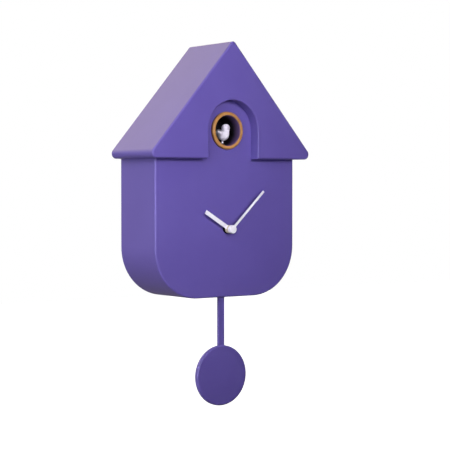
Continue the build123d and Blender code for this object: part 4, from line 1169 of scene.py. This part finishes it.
@dataclass
class Screws:
    """Pan-head cross screws, all from one tree, in millimetres."""

    head_radius: float = 2.6
    head_height: float = 1.3
    shank_radius: float = 1.3
    recess_length: float = 3.2
    recess_width: float = 0.8
    recess_depth: float = 0.6
    groups: tuple[ScrewGroup, ...] = (
        ScrewGroup("cover_screws", 12.0, 1.3, ((74.0, -199.921), (82.0, -79.921), (24.0, -8.32))),
        ScrewGroup("roof_screws", 10.0, 66.5, ((62.0, -59.921), (0.0, 11.68))),
        ScrewGroup("bracket_screws", 7.0, 58.5, ((21.0, -209.921),)),
        ScrewGroup("bird_bracket_screws", 7.0, 48.0, ((33.0, -85.946),)),
        ScrewGroup("board_screws", 6.0, 12.6, ((21.0, -181.921),), -47.0, Facing.FRONT),
    )

    def build(self) -> None:
        """Make every group of screws."""
        tree = self.tree()
        for group in self.groups:
            self.fit(tree, group)

    def tree(self) -> bpy.types.NodeTree:
        """Build the tree that sets one screw on each point.

        Returns:
            The geometry node tree.
        """
        tree = bpy.data.node_groups.new("cross_screws", "GeometryNodeTree")
        tree.interface.new_socket("Geometry", in_out="OUTPUT", socket_type="NodeSocketGeometry")
        sizes = ("Head Radius", "Head Height", "Shank Radius", "Shank Length")
        sizes += ("Recess Length", "Recess Width", "Recess Depth")
        kinds = {"Geometry": "NodeSocketGeometry"} | dict.fromkeys(sizes, "NodeSocketFloat")
        kinds |= {"Facing": "NodeSocketRotation", "Finish": "NodeSocketMaterial"}
        for name, kind in kinds.items():
            tree.interface.new_socket(name, in_out="INPUT", socket_type=kind)
        graph = Graph(tree)
        given = graph.add("NodeGroupInput").outputs
        screw = graph.add("GeometryNodeJoinGeometry")
        graph.link(self.head(graph, given), screw.inputs["Geometry"])
        graph.link(self.shank(graph, given), screw.inputs["Geometry"])
        values = {"Points": given["Geometry"], "Instance": screw.outputs["Geometry"]}
        values["Rotation"] = given["Facing"]
        spread = graph.add("GeometryNodeInstanceOnPoints", values).outputs["Instances"]
        real = graph.add("GeometryNodeRealizeInstances", {"Geometry": spread}).outputs["Geometry"]
        values = {"Geometry": real, "Material": given["Finish"]}
        worn = graph.add("GeometryNodeSetMaterial", values).outputs["Geometry"]
        graph.add("NodeGroupOutput", {"Geometry": worn})
        return tree

    def head(self, graph: Graph, given: bpy.types.NodeOutputs) -> Socket:
        """Build a low dome with a cross cut into it.

        Args:
            graph: The tree's graph.
            given: Sockets with the screw's sizes.

        Returns:
            The head's geometry.
        """
        dome_swell, slab_width = 1.12, 4.0
        radius, height = given["Head Radius"], given["Head Height"]
        tall = graph.math("MULTIPLY", height, 2.0)
        values = {"Vertices": 40, "Radius": radius, "Depth": tall}
        rim = graph.add("GeometryNodeMeshCylinder", values).outputs["Mesh"]
        ball = graph.math("MULTIPLY", radius, dome_swell)
        values = {"Segments": 40, "Rings": 20, "Radius": ball}
        dome = graph.add("GeometryNodeMeshUVSphere", values).outputs["Mesh"]
        low = graph.vector(1.0, 1.0, graph.math("DIVIDE", height, ball))
        both = graph.add("GeometryNodeMeshBoolean", operation="INTERSECT", solver="EXACT")
        graph.link(rim, both.inputs["Mesh 2"])
        graph.link(graph.moved(dome, "Scale", low), both.inputs["Mesh 2"])
        values = {"Mesh 1": both.outputs["Mesh"]}
        cut = graph.add("GeometryNodeMeshBoolean", values, operation="DIFFERENCE", solver="EXACT")
        across = graph.math("MULTIPLY", radius, slab_width)
        size = graph.vector(across, across, tall)
        slab = graph.add("GeometryNodeMeshCube", {"Size": size}).outputs["Mesh"]
        down = graph.vector(0.0, 0.0, graph.math("MULTIPLY", height, -1.0))
        graph.link(graph.moved(slab, "Translation", down), cut.inputs["Mesh 2"])
        top = graph.vector(0.0, 0.0, height)
        deep = graph.math("MULTIPLY", given["Recess Depth"], 2.0)
        length, width = given["Recess Length"], given["Recess Width"]
        for size in (graph.vector(length, width, deep), graph.vector(width, length, deep)):
            bar = graph.add("GeometryNodeMeshCube", {"Size": size}).outputs["Mesh"]
            graph.link(graph.moved(bar, "Translation", top), cut.inputs["Mesh 2"])
        return cut.outputs["Mesh"]

    def shank(self, graph: Graph, given: bpy.types.NodeOutputs) -> Socket:
        """Build a plain shank under the head.

        Args:
            graph: The tree's graph.
            given: Sockets with the screw's sizes.

        Returns:
            The shank's geometry.
        """
        length = given["Shank Length"]
        values = {"Vertices": 20, "Radius": given["Shank Radius"], "Depth": length}
        rod = graph.add("GeometryNodeMeshCylinder", values).outputs["Mesh"]
        drop = graph.vector(0.0, 0.0, graph.math("MULTIPLY", length, -0.5))
        return graph.moved(rod, "Translation", drop)

    def fit(self, tree: bpy.types.NodeTree, group: ScrewGroup) -> None:
        """Set one group of screws.

        Args:
            tree: The screw tree.
            group: The group to set.
        """
        mesh = bpy.data.meshes.new(group.node)
        mesh.from_pydata([at(*spot) for spot in group.spots()], [], [])
        piece = add_object(f"{group.node}_set", mesh)
        modifier = piece.modifiers.new("cross_screws", "NODES")
        modifier.node_group = tree
        values = {
            "Head Radius": self.head_radius * MM,
            "Head Height": self.head_height * MM,
            "Shank Radius": self.shank_radius * MM,
            "Shank Length": group.length * MM,
            "Recess Length": self.recess_length * MM,
            "Recess Width": self.recess_width * MM,
            "Recess Depth": self.recess_depth * MM,
            "Facing": Euler(group.facing.value),
            "Finish": STEEL.material(),
        }
        for item in tree.interface.items_tree:
            if item.in_out == "INPUT" and item.name in values:
                modifier[item.identifier] = values[item.name]
        bake_modifiers(piece)
        settle(piece, "case", "steel", group.node)


@dataclass(frozen=True)
class Lobe:
    """A rounded lobe of the bird, in millimetres and degrees."""

    middle: Point
    radii: Point
    pitch: float = 0.0
    roll: float = 0.0

    def join(self, solid: bmesh.types.BMesh) -> None:
        """Add the lobe to the bird, pitched tail up and then rolled.

        Args:
            solid: Mesh that the lobe joins.
        """
        x, depth, rise = self.middle
        place = Matrix.Translation(at(x, depth, NEST_Z + rise))
        pitch = Matrix.Rotation(radians(self.pitch), 4, "X")
        turn = pitch @ Matrix.Rotation(radians(self.roll), 4, "Y")
        size = Matrix.Diagonal((*(r * MM for r in self.radii), 1.0))
        matrix = place @ turn @ size
        bmesh.ops.create_icosphere(solid, subdivisions=4, radius=1.0, matrix=matrix)


@dataclass(frozen=True)
class Cone:
    """The bird's beak or leg, in millimetres and degrees."""

    middle: Point
    radii: Pair
    length: float
    sides: int
    pitch: float = 0.0

    def join(self, solid: bmesh.types.BMesh) -> None:
        """Add the cone to the bird.

        Args:
            solid: Mesh that the cone joins.
        """
        x, depth, rise = self.middle
        place = Matrix.Translation(at(x, depth, NEST_Z + rise))
        first, second = self.radii
        bmesh.ops.create_cone(
            solid,
            cap_ends=True,
            segments=self.sides,
            radius1=first * MM,
            radius2=second * MM,
            depth=self.length * MM,
            matrix=place @ Matrix.Rotation(radians(self.pitch), 4, "X"),
        )


@dataclass
class Bird:
    """The white bird on its arm, placed by X, depth and height above the nest's middle."""

    trunk: Lobe = Lobe((0.0, 62.6, -5.0), (5.8, 7.6, 5.8), 8.0)
    breast: Lobe = Lobe((0.0, 66.2, -2.6), (5.0, 4.6, 5.6))
    neck: Lobe = Lobe((0.0, 67.3, 0.6), (4.5, 4.6, 4.4))
    head: Lobe = Lobe((0.0, 67.6, 2.9), (4.5, 5.0, 4.5))
    tail: Lobe = Lobe((0.0, 57.0, -2.8), (4.3, 5.0, 4.2), 16.0)
    tail_tip: Lobe = Lobe((0.0, 54.6, -1.8), (4.2, 3.0, 3.9), 20.0)
    left_wing: Lobe = Lobe((-4.6, 61.8, -3.4), (1.5, 6.0, 3.6), 12.0, -10.0)
    right_wing: Lobe = Lobe((4.6, 61.8, -3.4), (1.5, 6.0, 3.6), 12.0, 10.0)
    beak: Cone = Cone((0.0, 73.3, 2.3), (1.6, 0.35), 4.0, 32, 90.0)
    leg: Cone = Cone((0.0, 61.5, -11.2), (1.0, 1.0), 5.2, 24)
    voxel: float = 0.28
    ease: float = 0.5
    ease_steps: int = 6

    def build(self) -> None:
        """Make the bird and dress what carries it."""
        settle(self.figure(), "bird", "white_plastic", "bird_body")
        dress(BLACK, "bird_arm")
        dress(GEAR, "bird_carriage")

    def figure(self) -> bpy.types.Object:
        """Shape the bird from lobes and cones run together.

        Returns:
            The bird.
        """
        solid = bmesh.new()
        trunk = (self.trunk, self.breast, self.neck, self.head, self.tail, self.tail_tip)
        for shape in (*trunk, self.left_wing, self.right_wing, self.beak, self.leg):
            shape.join(solid)
        mesh = bpy.data.meshes.new("bird_figure")
        solid.to_mesh(mesh)
        solid.free()
        mesh.materials.append(FEATHER.material())
        piece = add_object("bird_figure", mesh)
        skin = piece.modifiers.new("one_skin", "REMESH")
        skin.mode, skin.voxel_size, skin.use_smooth_shade = "VOXEL", self.voxel * MM, True
        smooth = piece.modifiers.new("eased", "SMOOTH")
        smooth.factor, smooth.iterations = self.ease, self.ease_steps
        bake_modifiers(piece)
        return piece


@dataclass
class Hands:
    """Hour and minute hand with their hub, nut and motion work."""

    edge: float = 0.18

    def build(self) -> None:
        """Make the hands and dress what turns them."""
        hour = softened("hour_hand", "hour_hand_bar", HOUR_WHITE, self.edge)
        settle(hour, "hour_work", "white_plastic", "hour_hand")
        minute = softened("minute_hand", "minute_hand_bar", WHITE, self.edge)
        settle(minute, "minute_work", "white_plastic", "minute_hand")
        dress(WHITE, "hand_cap")
        dress(NUT, "bush_washer", "bush_nut")
        dress(BRASS, "threaded_bush")
        dress(RUBBER, "bush_gasket")
        dress(GEAR, "centre_arbor", "hour_wheel", "minute_wheel", "setting_stem")
        dress(GREY, "movement_case", "movement_cover")
        dress(COPPER, "step_coil")
        dress(SHEET, "step_stator")


@dataclass
class Pendulum:
    """Flat rod, disc bob and the suspension inside."""

    edge: float = 0.35

    def build(self) -> None:
        """Make the rod and dress the rest."""
        rod = softened("pendulum_rod", "pendulum_rod_bar", VIOLET, self.edge)
        settle(rod, "pendulum", "violet_plastic", "pendulum_rod")
        dress(VIOLET, "pendulum_bob")
        dress(GREY, "pendulum_bracket", "pendulum_hanger")
        dress(SHEET, "pendulum_pin", "pivot_clip")
        dress(MAGNET, "pendulum_magnet")
        dress(COPPER, "pendulum_coil")


@dataclass
class Back:
    """Back cover with battery bay, door, time-setting knob, loudspeaker and sound board."""

    edge: float = 0.25
    slider_edge: float = 0.15

    def build(self) -> None:
        """Make the parts that a hand touches and dress the rest."""
        dress(COVER, "back_cover")
        door = softened("battery_door", "battery_door_lid", COVER, self.edge)
        settle(door, "door", "cover_plastic", "battery_door")
        knob = softened("setting_knob", "setting_knob_grip", COVER, self.edge)
        settle(knob, "setting", "cover_plastic", "setting_knob")
        slider = softened("switch_slider", "switch_slider_tip", BLACK, self.slider_edge)
        settle(slider, "sound_slider", "black_plastic", "switch_slider")
        dress(BLACK, "battery_box", "sound_switch", "sound_chip")
        dress(SHEET, "battery_contacts", "speaker_frame")
        dress(BOARD, "sound_board")
        dress(CAN, "board_capacitors")
        dress(PAPER, "speaker_cone")
        dress(MAGNET, "speaker_magnet")


@dataclass
class BirdDrive:
    """Bracket, gears and motor that push the bird out."""

    def build(self) -> None:
        """Dress the drive."""
        dress(GREY, "bird_bracket", "motor_endcap")
        dress(SHEET, "gear_axle", "motor_can")
        dress(GEAR, "drive_gear", "motor_pinion")


def main() -> None:
    """Build every part of the clock in order."""
    logging.basicConfig(level=logging.INFO, format="%(name)s: %(message)s")
    parts = (Studio(), Case(), Nest(), Bird(), Hands(), Pendulum(), Back(), BirdDrive(), Screws())
    for part in parts:
        part.build()


if __name__ == "__main__":
    main()
